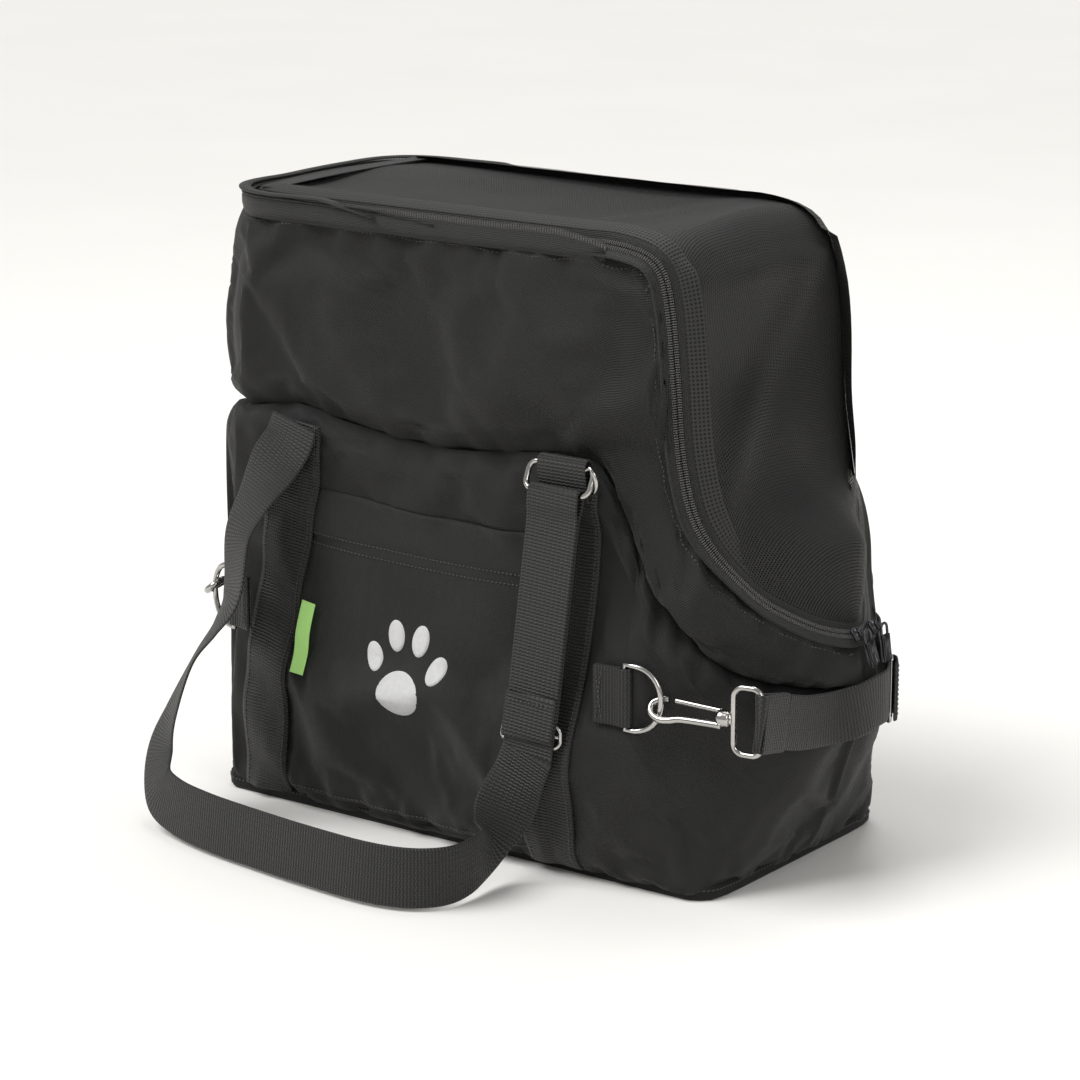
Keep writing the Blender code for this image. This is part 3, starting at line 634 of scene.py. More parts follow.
def spaced(n):
    """Shares from 0 to 1, closer together near both ends."""
    out = []
    for k in range(n + 1):
        t = k / n
        s = 0.5 * (1 - math.cos(math.pi * t))
        out.append(t * 0.3 + s * 0.7)
    return out


low_rows = [full_row(lambda c, s=s: low_point(c, s),
                     lambda p, s=s: low_dip(s) + end_swell(p, s) + cloth(p, s, 14, 7, 3.0))
            for s in spaced(56)]
body_low = surface("body_low", low_rows, TWILL, closed=True)


def collar_point(column, share):
    return column[2].lerp(column[3], share) / 1000


def collar_dip(share):
    tuck = 0.0100 * (1 - max(0.0, share) / 0.16) ** 2.4 if share < 0.16 else 0.0
    return 0.0045 * arch(max(0.0, share)) - tuck


def collar_out(p, share):
    """The row below the seam is tucked under the lower body's edge."""
    detail = cloth(p, share, 7, 5, 19.0) if share >= 0 else -0.003
    return collar_dip(share) + 1.5 * end_swell(p, share) + detail


collar_rows = [full_row(lambda c, s=s: collar_point(c, s), lambda p, s=s: collar_out(p, s))
               for s in [-0.035] + spaced(36)]
body_collar = surface("body_collar", collar_rows, TWILL, closed=True)


# ---- cloth settling: the panels swell between their sewn edges --------------------------


def settle(obj, pinned, pressure, shrink, most, frames=16):
    """Cloth simulation of a panel whose sewn edges are pinned, with its movement capped."""
    rest = [v.co.copy() for v in obj.data.vertices]
    group = obj.vertex_groups.new(name="sewn")
    for i in pinned:
        group.add([i], 1.0, "REPLACE")
    mod = obj.modifiers.new("Cloth", "CLOTH")
    settings = mod.settings
    settings.vertex_group_mass = "sewn"
    settings.mass = 0.25
    settings.quality = 6
    settings.tension_stiffness = 30
    settings.compression_stiffness = 30
    settings.shear_stiffness = 12
    settings.bending_stiffness = 0.8
    settings.shrink_min = shrink
    settings.use_pressure = True
    settings.uniform_pressure_force = pressure
    settings.effector_weights.gravity = 0.0
    mod.collision_settings.use_collision = False
    mod.collision_settings.use_self_collision = False
    mod.point_cache.frame_start = 1
    mod.point_cache.frame_end = frames
    scene = bpy.context.scene
    for f in range(1, frames + 1):
        scene.frame_set(f)
    done = obj.evaluated_get(bpy.context.evaluated_depsgraph_get()).to_mesh()
    moved = [v.co.copy() for v in done.vertices]
    obj.modifiers.remove(mod)
    scene.frame_set(1)
    for v, a, b in zip(obj.data.vertices, rest, moved):
        step = b - a
        if step.length > most:
            step = step.normalized() * most
        v.co = a + step
    obj.data.update()


def edge_rows(obj, rows_count, low, high):
    """Vertices within the sewn rows, found from their place in the grid."""
    cols = len(obj.data.vertices) // rows_count
    return [r * cols + c for r in range(rows_count) if r < low or r >= rows_count - high for c in range(cols)]


settle(body_low, edge_rows(body_low, 57, 2, 3), 2.2, -0.035, 0.007)
settle(body_collar, edge_rows(body_collar, 38, 4, 2), 1.5, -0.035, 0.006)

wall = BVHTree.FromObject(body_low, bpy.context.evaluated_depsgraph_get())


def on_wall(x, z, side, lift):
    """Point on the long wall at (x, z), lifted off it."""
    hit = wall.ray_cast(Vector((x, side * 0.3, z)), Vector((0, -side, 0)))
    y = hit[0].y if hit[0] is not None else side * 0.104
    return Vector((x, y + side * lift, z))


def lining(name, point_of, dip, depth, count):
    """Inner face of a panel, depth inside its outer face and deeper in the middle."""
    rows = []
    for s in spaced(count):
        deep = dip(s) - depth - 0.009 * arch(s) ** 0.6
        rows.append(full_row(lambda c, s=s: point_of(c, s), lambda p, d=deep: d))
    return surface(name, rows, TWILL_IN, closed=True, flip=True)


lining_low = lining("lining_low", low_point, low_dip, 0.007, 14)
lining_high = lining("lining_high", collar_point, collar_dip, 0.005, 10)
for obj in (body_low, body_collar, lining_low, lining_high):
    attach(obj, "bag")
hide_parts("lower_body")
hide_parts("upper_collar")

# ---- base binding and mat ------------------------------------------------------------
foot_line = [Vector((c[0].x, c[0].y, 0)) for c in COLUMNS]
foot_out = [outward(foot_line, i) for i in range(len(foot_line))]
foot_out = mirrored(foot_out)
foot = mirrored([p / 1000 for p in foot_line])
binding_rows = []
BINDING_SECTION = ((0.0004, -0.006), (0.0002, 0.0005), (0.0022, 0.0022),
                   (0.0065, 0.0024), (0.0098, 0.0016), (0.0104, -0.001))
for lift, out in BINDING_SECTION:
    binding_rows.append([p + o * (out + 0.0004 * gather(p, 40)) + Z * lift for p, o in zip(foot, foot_out)])
binding = surface("base_binding", binding_rows, BINDING, closed=True)
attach(binding, "bag")
for node, mat in (("base_panel", BINDING), ("base_board", BINDING), ("inner_mat", MAT_PAD)):
    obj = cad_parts[node]
    obj.data.materials.clear()
    obj.data.materials.append(mat)


def mat_point(x, y):
    """Quilted top of the mat, x and y from -10 to 10."""
    quilt = 0.0007 * math.cos(x * 1.6) * math.cos(y * 1.6)
    return Vector((x / 10 * 0.187, y / 10 * 0.088, 0.0224 + quilt))


mat_rows = [[mat_point(x, y) for x in range(-10, 11)] for y in range(-10, 11)]
mat_top = surface("mat_top", mat_rows, MAT_PAD, thick=0.0008)
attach(mat_top, "bag")

# ---- rim: zips, hems and mesh ------------------------------------------------------------


def rim_frames():
    points = [c[3] / 1000 for c in COLUMNS]
    frames = []
    for i, p in enumerate(points):
        along = heading(points, i)
        if i in (0, len(points) - 1):
            along = Vector((0, -1, 0)) if i == 0 else Vector((0, 1, 0))
        out = outward(points, i)
        lidward = along.cross(out).normalized()
        if lidward.z < 0:
            lidward = -lidward
        lean = (lidward * 0.8 - out * 0.6).normalized()
        normal = along.cross(lean).normalized()
        if normal.dot(out) < 0:
            normal = -normal
        frames.append((p, lean, normal, out))
    for _ in range(6):
        soft = [frames[0]]
        for a, b, c in zip(frames, frames[1:], frames[2:]):
            lean = (a[1] + b[1] * 2 + c[1]).normalized()
            normal = (a[2] + b[2] * 2 + c[2]).normalized()
            soft.append((b[0], lean, normal, b[3]))
        frames = soft + [frames[-1]]
    return frames


RIM = rim_frames()


def flip_y(v):
    return Vector((v.x, -v.y, v.z))


LOOP = RIM + [tuple(flip_y(v) for v in f) for f in reversed(RIM[1:-1])]


def rim_band(name, profile, mat, frames, closed):
    """Band along the rim from a profile of (lidward, normal) offsets, upwards through the list."""
    rows = [[p + lean * u + normal * v for p, lean, normal, out in frames] for u, v in profile]
    return surface(name, rows, mat, closed=closed)


BODY_TAPE = [(-0.0052, 0.0016), (-0.0048, 0.0026), (-0.0036, 0.0028),
             (-0.0026, 0.0020), (0.0010, 0.0016), (0.0020, 0.0010)]
body_tape = rim_band("zip_tape_body", BODY_TAPE, TAPE, LOOP, True)
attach(body_tape, "bag")


def teeth(name, frames, start, end, lift, pitch=0.00155, size=0.00105):
    """Coil turns of a zip: short rounded bars across the tape, from start to end off its edge."""
    stations = ((start, 0.7), (start * 0.7 + end * 0.3, 1.0), (start * 0.3 + end * 0.7, 1.0), (end, 0.7))
    verts = []
    faces = []
    uvs = []
    run = 0.0
    for a, b in zip(frames, frames[1:]):
        pa = a[0] + a[1] * (start + end) / 2
        pb = b[0] + b[1] * (start + end) / 2
        span = (pb - pa).length
        if span < 1e-7:
            continue
        d = (pb - pa).normalized()
        while run < span:
            t = run / span
            p = a[0].lerp(b[0], t)
            lean = a[1].lerp(b[1], t).normalized()
            normal = a[2].lerp(b[2], t).normalized()
            base = len(verts)
            for u, swell in stations:
                for k in range(5):
                    w = math.pi * (k / 4)
                    rise = lift + math.sin(w) * 0.0011 * swell
                    verts.append(p + lean * u + d * math.cos(w) * size / 2 * swell + normal * rise)
                    uvs.append((u, run + w * 0.0002))
            faces += bar_faces(base, 4, 5, False, False)
            run += pitch
        run -= span
    return make(name, verts, faces, TEETH, uvs)


def frame_at(x):
    for fa, fb in zip(RIM[PER * 12:], RIM[PER * 12 + 1:]):
        if fb[0].x <= x <= fa[0].x and fa[0].z > 0.39:
            t = (fa[0].x - x) / max(1e-9, fa[0].x - fb[0].x)
            return tuple(a.lerp(b, t) for a, b in zip(fa, fb))
    return RIM[-1]


LID_END = -0.1765
LID_RIM = [f for i, f in enumerate(RIM) if f[0].x > LID_END] + [frame_at(LID_END)]
ZIP_RUN = [tuple(flip_y(v) for v in f) for f in LID_RIM[:0:-1]] + LID_RIM
teeth_body = teeth("zip_teeth_body", ZIP_RUN, 0.0010, 0.0041, 0.0012)
place(teeth_body, "bag", "zip_half_body")

LID_TAPE = [(0.0066, 0.0008), (0.0078, 0.0014), (0.0105, 0.0020), (0.0130, 0.0020), (0.0140, 0.0012)]
lid_tape = rim_band("zip_tape_lid", LID_TAPE, TAPE, ZIP_RUN, False)
teeth_lid = teeth("zip_teeth_lid", ZIP_RUN, 0.0045, 0.0076, 0.0012)
UNDERLAY = [(-0.001, -0.0003), (0.004, -0.0002), (0.0092, -0.0003)]
gap_tape = rim_band("zip_underlay", UNDERLAY, TAPE, LOOP, True)
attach(gap_tape, "bag")

# Mesh lid: rows across the bag between the two sides of the zip.
ACROSS = 60


def lid_point(i, s):
    """Point of the slack mesh: column i along the bag, s from -1 to 1 across it."""
    p, lean, normal, out = LID_RIM[i]
    edge = p + lean * 0.0115 + normal * 0.0012
    if edge.y > -0.002:
        edge.y = -0.002
    y = -edge.y * s
    base = Vector((edge.x, y, edge.z))
    width = min(1.0, abs(edge.y) / 0.088)
    bow = (1 - s * s) * width
    x = edge.x
    if edge.z > 0.385:
        # Top: slack between the two walls, puffed into a crease where the slope begins.
        sag = -0.009 * bow * hump(x, 0.02, 0.10)
        lift = 0.004 * bow * hump(x, -0.12, 0.05)
        crease = 0.011 * bow * (0.75 + 0.45 * s) * math.exp(-abs(x - 0.140) / 0.022)
        wave = 0.0040 * bow * noise.noise(Vector((x * 15, y * 13, 1.0)))
        ridge = 0.0030 * bow * hump(x, 0.06 + 0.5 * y, 0.014)
        return base + Z * (sag + lift + crease + wave + ridge)
    up = Vector((0.80, 0, 0.60))
    depth = (0.403 - edge.z) / 0.25
    start = max(0.0, 1 - (0.385 - edge.z) / 0.02)
    puff = 0.010 * bow * (0.75 + 0.45 * s) * start
    dent = -0.016 * bow * hump(depth, 0.30, 0.13)
    wide = (1 - s * s) * min(1.0, abs(edge.y) / 0.055)
    belly = 0.040 * wide * hump(depth, 0.86, 0.17) * (0.85 + 0.3 * s)
    crease = 0.007 * hump(depth, 0.36 - 0.34 * s, 0.07) * bow
    wave = 0.0030 * bow * noise.noise(Vector((y * 22, edge.z * 18, 4.0)))
    return base + up * (puff + dent + belly + crease + wave)


lid_rows = []
for i in range(len(LID_RIM)):
    lid_rows.append([lid_point(i, -math.cos(math.pi * (0.04 + 0.92 * k / ACROSS)) / math.cos(math.pi * 0.04))
                     for k in range(ACROSS + 1)])
lid = surface("lid_mesh", lid_rows, MESH, thick=0.0007)


def hem(name, inset, width, mat, lift):
    """Band of doubled mesh along the lid's edge, lying on the mesh."""
    rows = []
    for step in range(5):
        row = []
        for i, (p, lean, normal, out) in enumerate(LID_RIM):
            flat = (lean * 0.35 + Vector((-out.x, -out.y, 0)) * 0.65 if p.z > 0.39 else lean).normalized()
            q = p + lean * inset + flat * width * step / 4
            q += normal * (lift + 0.0006 * arch(step / 4))
            row.append(q)
        rows.append([flip_y(q) for q in row[:0:-1]] + row)
    return surface(name, rows, mat)


lid_hem = hem("lid_hem", 0.0125, 0.0125, HEM_MESH, 0.0022)
for obj in (lid, lid_tape, teeth_lid, lid_hem):
    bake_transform(obj)
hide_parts("mesh_top", "mesh_door")
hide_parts("zip_half_top_front", "zip_half_top_back", "zip_half_door")

# Fixed end of the mesh, under the stacked hems of the two zips.
end_frames = [frame_at(LID_END + 0.0015)] + [f for f in RIM[:-PER * 2] if f[0].x < LID_END]
end_rows = []
for p, lean, normal, out in end_frames:
    edge = p + lean * 0.0115 + normal * 0.0012
    end_rows.append([Vector((edge.x, -edge.y * s, edge.z + 0.0006 + 0.0015 * (1 - s * s)))
                     for s in [-math.cos(math.pi * k / 40) for k in range(41)]])
mesh_end = surface("end_mesh", end_rows, MESH, thick=0.0007)
place(mesh_end, "bag", "mesh_end")
corner_spot = end_rows[0][0]
fold_line = []
for k in range(25):
    crown = 0.0022 + 0.0012 * arch(k / 24)
    fold_line.append(Vector((corner_spot.x + 0.004, corner_spot.y * (1 - k / 12), corner_spot.z + crown)))
end_tape = webbing("end_fold_tape", fold_line, [X] * 25, 0.013, 0.0009, mat=TAPE)
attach(end_tape, "bag")
for layer in range(4):
    reach = 0.075 - 0.045 * layer
    some = [f for f in RIM if f[0].x < reach]
    some = some + [tuple(flip_y(v) for v in f) for f in reversed(some[:-1])]
    rows = []
    for step in range(4):
        row = []
        for k, (p, lean, normal, o) in enumerate(some):
            fade = min(1.0, (reach - p.x) / 0.05)
            rise = 0.0035 + 0.0026 * layer * fade + 0.0006 * gather(p, 25.0, layer * 3.0)
            inner = (0.0030 + 0.0016 * layer) - 0.0026 * step
            row.append(p + o * inner + Z * (rise + 0.0007 * arch(step / 3)))
        rows.append(row)
    band = surface("end_hem_" + str(layer), rows, TAPE if layer % 2 else TWILL, thick=0.0009)
    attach(band, "bag")

# Second zip half, standing open round the rim.
cover = [f for f in RIM if f[0].x < 0.119]
cover = cover + [tuple(flip_y(v) for v in f) for f in reversed(cover[:-1])]
cover_rows = []


def cover_height(p):
    """The standing half lies down towards its two ends."""
    return clip((0.119 - p.x) / 0.035) ** 0.6


for lift, out in ((-0.0055, 0.0030), (-0.002, 0.0044), (0.002, 0.0052), (0.006, 0.0052), (0.0092, 0.0044)):
    row = []
    for p, lean, normal, o in cover:
        ripple = 0.0009 * gather(p, 34.0, 2.0)
        tall = cover_height(p)
        rise = lift * tall if lift > 0 else lift
        row.append(p + o * (out * (0.4 + 0.6 * tall) + ripple) + Z * (rise + 0.0008 * gather(p, 20.0, 5.0)))
    cover_rows.append(row)
cover_tape = surface("cover_zip_tape", cover_rows, TAPE, thick=0.0007)
cover_frames = [(q, Z.copy(), f[3].copy(), f[3]) for q, f in zip(cover_rows[-1], cover)]
cover_teeth = teeth("cover_zip_teeth", cover_frames, -0.0018, 0.0024, 0.0002, 0.0019, 0.0013)
for obj in (cover_tape, cover_teeth):
    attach(obj, "bag")
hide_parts("cover_zip_half")

# ---- pockets ----------------------------------------------------------------------------
POCKET_LEFT = [(-0.139, 0.014), (-0.133, 0.075), (-0.127, 0.130), (-0.119, 0.190), (-0.1135, 0.224)]
POCKET_RIGHT = [(0.069, 0.012), (0.071, 0.075), (0.074, 0.130), (0.078, 0.190), (0.0795, 0.220)]
left_edge = catmull([Vector((x, 0, z)) for x, z in POCKET_LEFT], 14)
right_edge = catmull([Vector((x, 0, z)) for x, z in POCKET_RIGHT], 14)


def pocket_point(r, s, side, extra=0.0):
    q = left_edge[r].lerp(right_edge[r], s)
    v = r / (len(left_edge) - 1)
    q.z -= 0.003 * arch(s) * v
    crown = max(0.0, arch(s)) * max(0.0, math.sin(math.pi * min(1.0, v * 0.93 + 0.07)))
    crown = crown ** 0.45
    waves = 0.0016 * noise.noise(Vector((q.x * 14 + q.z * 8, side * 3.0, q.z * 16)))
    gathers = 0.0007 * gather(q, 70.0, side * 5.0) * math.exp(-(v * 9) ** 2)
    hem_line = -0.0016 * hump(q.z, 0.190, 0.0016)
    edge = -0.0012 * (math.exp(-(s * 40) ** 2) + math.exp(-((1 - s) * 40) ** 2))
    return on_wall(q.x, q.z, side, 0.0012 + 0.0046 * crown + waves + gathers + hem_line + edge + extra)


def pocket(name, side, node):
    rows = []
    for r in range(len(left_edge)):
        rows.append([pocket_point(r, k / 70, side) for k in range(71)])
    obj = surface(name, rows, TWILL, thick=0.0011, flip=side > 0)
    place(obj, "bag", node)
    return obj


pocket_front = pocket("pocket_front", -1, "front_pocket")
pocket_back = pocket("pocket_back", 1, "back_pocket")


def sewn_line(name, points, side):
    place(stitches(name, points, [Vector((0, side, 0))] * len(points)), "bag")


for side, word in ((-1, "front"), (1, "back")):
    for n, z in enumerate((0.193, 0.187, 0.0165)):
        r = min(range(len(left_edge)), key=lambda r: abs(left_edge[r].z - z))
        points = [pocket_point(r, k / 60, side, 0.0005) for k in range(61)]
        sewn_line("pocket_seam_" + word + str(n), points, side)

# ---- webbing on the walls ------------------------------------------------------------------
LEFT_STRAP = [(-0.158, 0.006), (-0.154, 0.060), (-0.149, 0.110), (-0.142, 0.160),
              (-0.134, 0.205), (-0.127, 0.240), (-0.1245, 0.268)]
RIGHT_STRAP = [(0.0895, 0.006), (0.0905, 0.060), (0.0930, 0.120), (0.0965, 0.205),
               (0.0975, 0.235), (0.0970, 0.262)]


def wall_strap(name, line, side, node):
    spine = catmull([Vector((x, 0, z)) for x, z in line], 16)
    rows = []
    for i, c in enumerate(spine):
        run = heading(spine, i)
        across = Vector((run.z, 0, -run.x))
        row = []
        for k in range(13):
            q = c + across * WEB * (k / 12 - 0.5)
            rounding = -0.0005 if k in (0, 12) else 0.0
            row.append(on_wall(q.x, min(q.z, 0.258), side, 0.0030 + rounding))
            row[-1].z = q.z
            if q.z > 0.245:
                ease = min(1.0, (q.z - 0.245) / 0.02)
                row[-1].y = row[-1].y * (1 - ease) + side * 0.1095 * ease
        rows.append(row)
    # A strap does not follow each small dip of the cloth: smooth it along its length.
    for _ in range(6):
        for i in range(1, len(rows) - 1):
            for k in range(13):
                mean = (rows[i - 1][k].y + rows[i + 1][k].y) / 2
                here = abs(rows[i][k].y)
                rows[i][k].y = max(here * 0.5 + abs(mean) * 0.5, here - 0.0006) * side
    obj = surface(name, rows, WEBBING, thick=0.0018, flip=side > 0)
    place(obj, "bag", node)
    for e, k in enumerate((1, 11)):
        points = [row[k] + Vector((0, side * 0.0003, 0)) for row in rows[::2]]
        sewn_line(name + "_seam" + str(e), points, side)


for side, word in ((-1, "front"), (1, "back")):
    wall_strap(word + "_web_left", LEFT_STRAP, side, word + "_strap_left")
    wall_strap(word + "_web_right", RIGHT_STRAP, side, word + "_strap_right")

# ---- handles ----------------------------------------------------------------------------
HANDLE_PATH = [
    ((-124, -112, 268.0), (1.0, 0.0, -0.05)),
    ((-128, -114, 255), (0.93, 0.0, -0.30)),
    ((-136, -119, 240), (0.90, 0.0, -0.42)),
    ((-145, -128, 218), (0.93, -0.36, -0.22)),
    ((-152, -138, 193), (0.88, -0.47, -0.10)),
    ((-147, -151, 157), (0.82, -0.57, 0.0)),
    ((-156, -158, 134), (0.70, -0.71, 0.1)),
    ((-169, -166, 111), (0.62, -0.78, 0.1)),
    ((-179, -178, 76), (0.77, -0.63, 0.1)),
    ((-182, -187, 50), (0.88, -0.35, 0.25)),
    ((-173, -199, 30), (0.50, 0.0, 0.85)),
    ((-150, -208, 23.5), (0.10, 0.1, 1.0)),
    ((-115, -216, 22), (0.0, 0.12, 1.0)),
    ((-70, -222, 21.7), (0.0, 0.12, 1.0)),
    ((-20, -227, 21.7), (0.0, 0.12, 1.0)),
    ((25, -229, 21.7), (0.0, 0.12, 1.0)),
    ((55, -222, 21.7), (0.0, 0.08, 1.0)),
    ((72, -205, 21.7), (0.02, 0.02, 1.0)),
    ((75, -184, 22.5), (0.05, -0.05, 1.0)),
    ((73, -163, 27), (0.1, -0.35, 0.95)),
    ((71, -151, 38), (-0.35, -0.70, 0.60)),
    ((73, -142, 53), (-0.85, -0.45, 0.20)),
    ((78, -136.5, 70), (-1.0, -0.05, 0.10)),
]
BUCKLE = Vector((0.084, -0.1325, 0.099))
LOW_BAR = Vector((0.094, -0.119, 0.2535))
LEG = (LOW_BAR - BUCKLE).normalized()
LEG_N = X.cross(LEG).normalized()
if LEG_N.y > 0:
    LEG_N = -LEG_N


def handle(name, side, node):
    centres = [Vector(p) / 1000 for p, _ in HANDLE_PATH]
    widths = [Vector(w) for _, w in HANDLE_PATH]
    front = 0.00115
    rest = [BUCKLE - LEG * 0.014 + LEG_N * front, BUCKLE + LEG_N * front]
    rest += [LOW_BAR - LEG * d + LEG_N * front for d in (0.100, 0.050, 0.020)]
    rest += [LOW_BAR - LEG * 0.008 + LEG_N * 0.0031]
    for angle in range(0, 181, 20):
        a = math.radians(angle)
        rest.append(LOW_BAR + LEG_N * 0.0034 * math.cos(a) + LEG * 0.0034 * math.sin(a))
    rest += [LOW_BAR - LEG * 0.008 - LEG_N * 0.0031]
    rest += [LOW_BAR - LEG * d - LEG_N * front for d in (0.020, 0.060, 0.110, 0.150)]
    smooth = catmull(centres + rest[:1], 10)
    wide = catmull(widths + [-X], 10)
    tail = catmull(rest, 5)[1:]
    centres = smooth + tail
    widths = wide + [-X] * len(tail)
    for i, c in enumerate(centres[: len(smooth)]):
        c.y += 0.0012 * noise.noise(Vector((c.x * 12, c.z * 12, 3.0)))
    if side > 0:
        centres = [flip_y(c) for c in centres]
        widths = [flip_y(w) for w in widths]
    obj = webbing(name, centres, widths, WEB, 0.0018)
    place(obj, node, node)
    return obj


def d_outline(centre, along, across, half, depth, steps=20):
    points = [centre - across * half, centre + across * half]
    for k in range(1, steps):
        a = math.pi * k / steps
        points.append(centre + across * half * math.cos(a) + along * depth * math.sin(a) ** 0.7)
    straight = [centre + across * half * share for share in (-0.5, 0.0, 0.5)]
    return points[1:] + points[:1] + straight


RING_TILT = Vector((0, -0.39, -0.92)).normalized()


def slider_frame(centre, up, across, normal, width, height, wire):
    """Wire frame of an adjuster: a rounded ring and its middle bar."""
    ring = rounded(centre, across, up, width / 2 - wire, height / 2 - wire, 0.0045)
    bend = [p - normal * 0.0022 * (1 - abs((p - centre).dot(up)) / (height / 2)) for p in ring]
    bar = [centre - normal * 0.0022 + across * s * (width / 2 - wire) for s in (-1, -0.5, 0, 0.5, 1)]
    return [tube("ring", bend, wire, NICKEL, 14), tube("bar", bar, wire * 0.9, NICKEL, 12, closed=False)]


def fold_patch(name, centre, up, across, normal, body, low, high_end):
    """End of the webbing sewn back on itself round the bar, with its seam."""
    points = [(high_end, 0.0003), (high_end - 0.001, 0.0016), (0.010, 0.0021), (low + 0.003, 0.0024)]
    points += [(low, 0.0014), (low - 0.0008, -0.0004), (low + 0.001, -0.0018)]
    path = catmull([centre + up * u + normal * v for u, v in points], 6)
    obj = webbing(name, path, [across] * len(path), WEB + 0.0004, 0.0016)
    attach(obj, body)
    middle = centre + up * (high_end - 0.004) + normal * 0.0031
    row = [middle + across * WEB * (0.46 - 0.92 * k / 20) for k in range(21)]
    place(stitches(name + "_seam", row, [normal] * 21), body)


for side, word in ((-1, "front"), (1, "back")):
    def flip(v, s=side):
        return v.copy() if s < 0 else flip_y(v)

    handle(word + "_handle_web", side, word + "_handle")
    ring_mid = Vector((0.094, -0.112, 0.270)) + RING_TILT * 0.009
    oval = [flip(p) for p in rounded(ring_mid, X, RING_TILT, 0.0245, 0.009, 0.0060)]
    ring = tube(word + "_ring", oval, 0.0019, NICKEL)
    place(ring, word + "_handle", word + "_handle_ring")
    bow = d_outline(Vector((0.1085, -0.1135, 0.2665)), Vector((0.50, 0.10, -0.86)).normalized(),
                    Vector((0.86, -0.25, 0.45)).normalized(), 0.0120, 0.0150)
    place(tube(word + "_side_ring", [flip(p) for p in bow], 0.0014, NICKEL, 14), "bag")
    keeper = [Vector((0.096, y, z)) for y, z in (
        (-0.1122, 0.2480), (-0.1150, 0.2600), (-0.1162, 0.2690), (-0.1152, 0.2735),
        (-0.1120, 0.2752), (-0.1090, 0.2735), (-0.1082, 0.2690), (-0.1072, 0.2480))]
    keeper = catmull([flip(p) for p in keeper], 6)
    loop = webbing(word + "_ring_keeper", keeper, [X] * len(keeper), 0.0375, 0.0016)
    place(loop, "bag", word + "_ring_loop")
    leg, leg_normal = flip(LEG), flip(LEG_N)
    wires = slider_frame(flip(BUCKLE), leg, X, leg_normal, 0.0475, 0.017, 0.0013)
    buckle = join(word + "_buckle", wires)
    patch = flip(BUCKLE + LEG_N * 0.0016)
    fold_patch(word + "_buckle_fold", patch, leg, X, leg_normal, word + "_handle", -0.0040, 0.0240)
    place(buckle, word + "_buckle", word + "_handle_buckle")

# ---- tabs, D-rings, hooks ------------------------------------------------------------------


def press(obj, centre, run, normal, length, width):
    """Cloth held flat under a sewn tab, free again a little way from it."""
    for v in obj.data.vertices:
        d = v.co - centre
        u, n = d.dot(run), d.dot(normal)
        if abs(n) > 0.03:
            continue
        past = math.hypot(max(0.0, u - 0.002, -length - u), max(0.0, abs(d.z) - width / 2))
        limit = -0.0030 + 0.7 * past
        if past < 0.016 and n > limit:
            v.co -= normal * (n - limit)
    obj.data.update()


def tab(name, centre, run, normal, length, width, node):
    press(body_low, centre, run, normal, length, width)
    profile = [(-length, -0.0013), (-0.008, -0.0013), (-0.001, -0.0030), (0.0024, -0.0020), (0.0033, 0.0),
               (0.0024, 0.0020), (-0.001, 0.0030), (-0.008, 0.0013), (-length, 0.0013)]
    path = catmull([centre + run * u + normal * v for u, v in profile], 6)
    obj = webbing(name, path, [Z] * len(path), width, 0.0015)
    place(obj, "bag", node)
    for n, w in enumerate((-1, 1)):
        line = []
        for k in range(4):
            end = centre - run * (length - 0.002 - 0.004 * k / 3) + normal * 0.0024
            line.append(end + Z * w * (0.5 - k / 3) * (width - 0.006))
        place(stitches(name + "_seam" + str(n), line, [normal] * 4), "bag")


def hook(word, nose, run, normal, tilt):
    tilt = math.radians(tilt)
    up = Z * math.cos(tilt) - normal * math.sin(tilt)

    def at(u, v):
        return nose + run * u + up * v

    def hook_radius(t):
        return 0.0023 if t < 0.9 else 0.0023 - 0.006 * (t - 0.9)

    def collar_radius(t):
        return 0.0058 - 0.0012 * abs(t - 0.3)

    path = [(0.0420, -0.0050), (0.016, -0.0050), (0.007, -0.0068), (0.000, -0.0070),
            (-0.0060, -0.0030), (-0.0068, 0.0030), (-0.001, 0.0070), (0.003, 0.0072)]
    bend = catmull([at(u, v) for u, v in path], 8)
    body = tube(word + "_hook", bend, hook_radius, NICKEL, closed=False)
    place(body, word + "_clip", word + "_hook_body")
    spring = catmull([at(0.0075, 0.0070), at(0.022, 0.0060), at(0.0405, 0.0048)], 8)
    gate = tube(word + "_gate", spring, 0.0017, NICKEL, 14, closed=False)
    place(gate, word + "_gate", word + "_hook_gate")
    collar = join(word + "_collar", [
        tube("c", [at(0.0395 + 0.0012 * k, 0.0) for k in range(7)], collar_radius, NICKEL, 24, closed=False),
        tube("c", [at(0.0460 + 0.0008 * k, 0.0) for k in range(4)], 0.0034, NICKEL, 20, closed=False)])
    place(collar, word + "_clip", word + "_hook_collar")
    oval = rounded(nose + run * 0.0585, run, Z, 0.0095, 0.0215, 0.0068)
    eye = tube(word + "_eye_ring", oval, 0.0019, NICKEL)
    place(eye, word + "_eye", word + "_swivel_eye")


RIGHT_RUN = Vector((1, 0.16, 0)).normalized()
RIGHT_N = Vector((0.16, -1, 0)).normalized()
right_tab = Vector((0.1470, -0.1181498, 0.130))
TAB_RUN = Vector((1, 0.13, 0)).normalized()
TAB_N = Vector((0.13, -1, 0)).normalized()
tab("right_tab_web", right_tab, TAB_RUN, TAB_N, 0.022, 0.038, "right_tab")
ring = tube("right_ring", d_outline(right_tab, RIGHT_RUN, Z, 0.0212, 0.0245), 0.0019, NICKEL)
place(ring, "right_clip", "right_d_ring")
right_nose = right_tab + RIGHT_RUN * 0.0245 + Z * (-0.004)
hook("right", right_nose, RIGHT_RUN, RIGHT_N, 42)

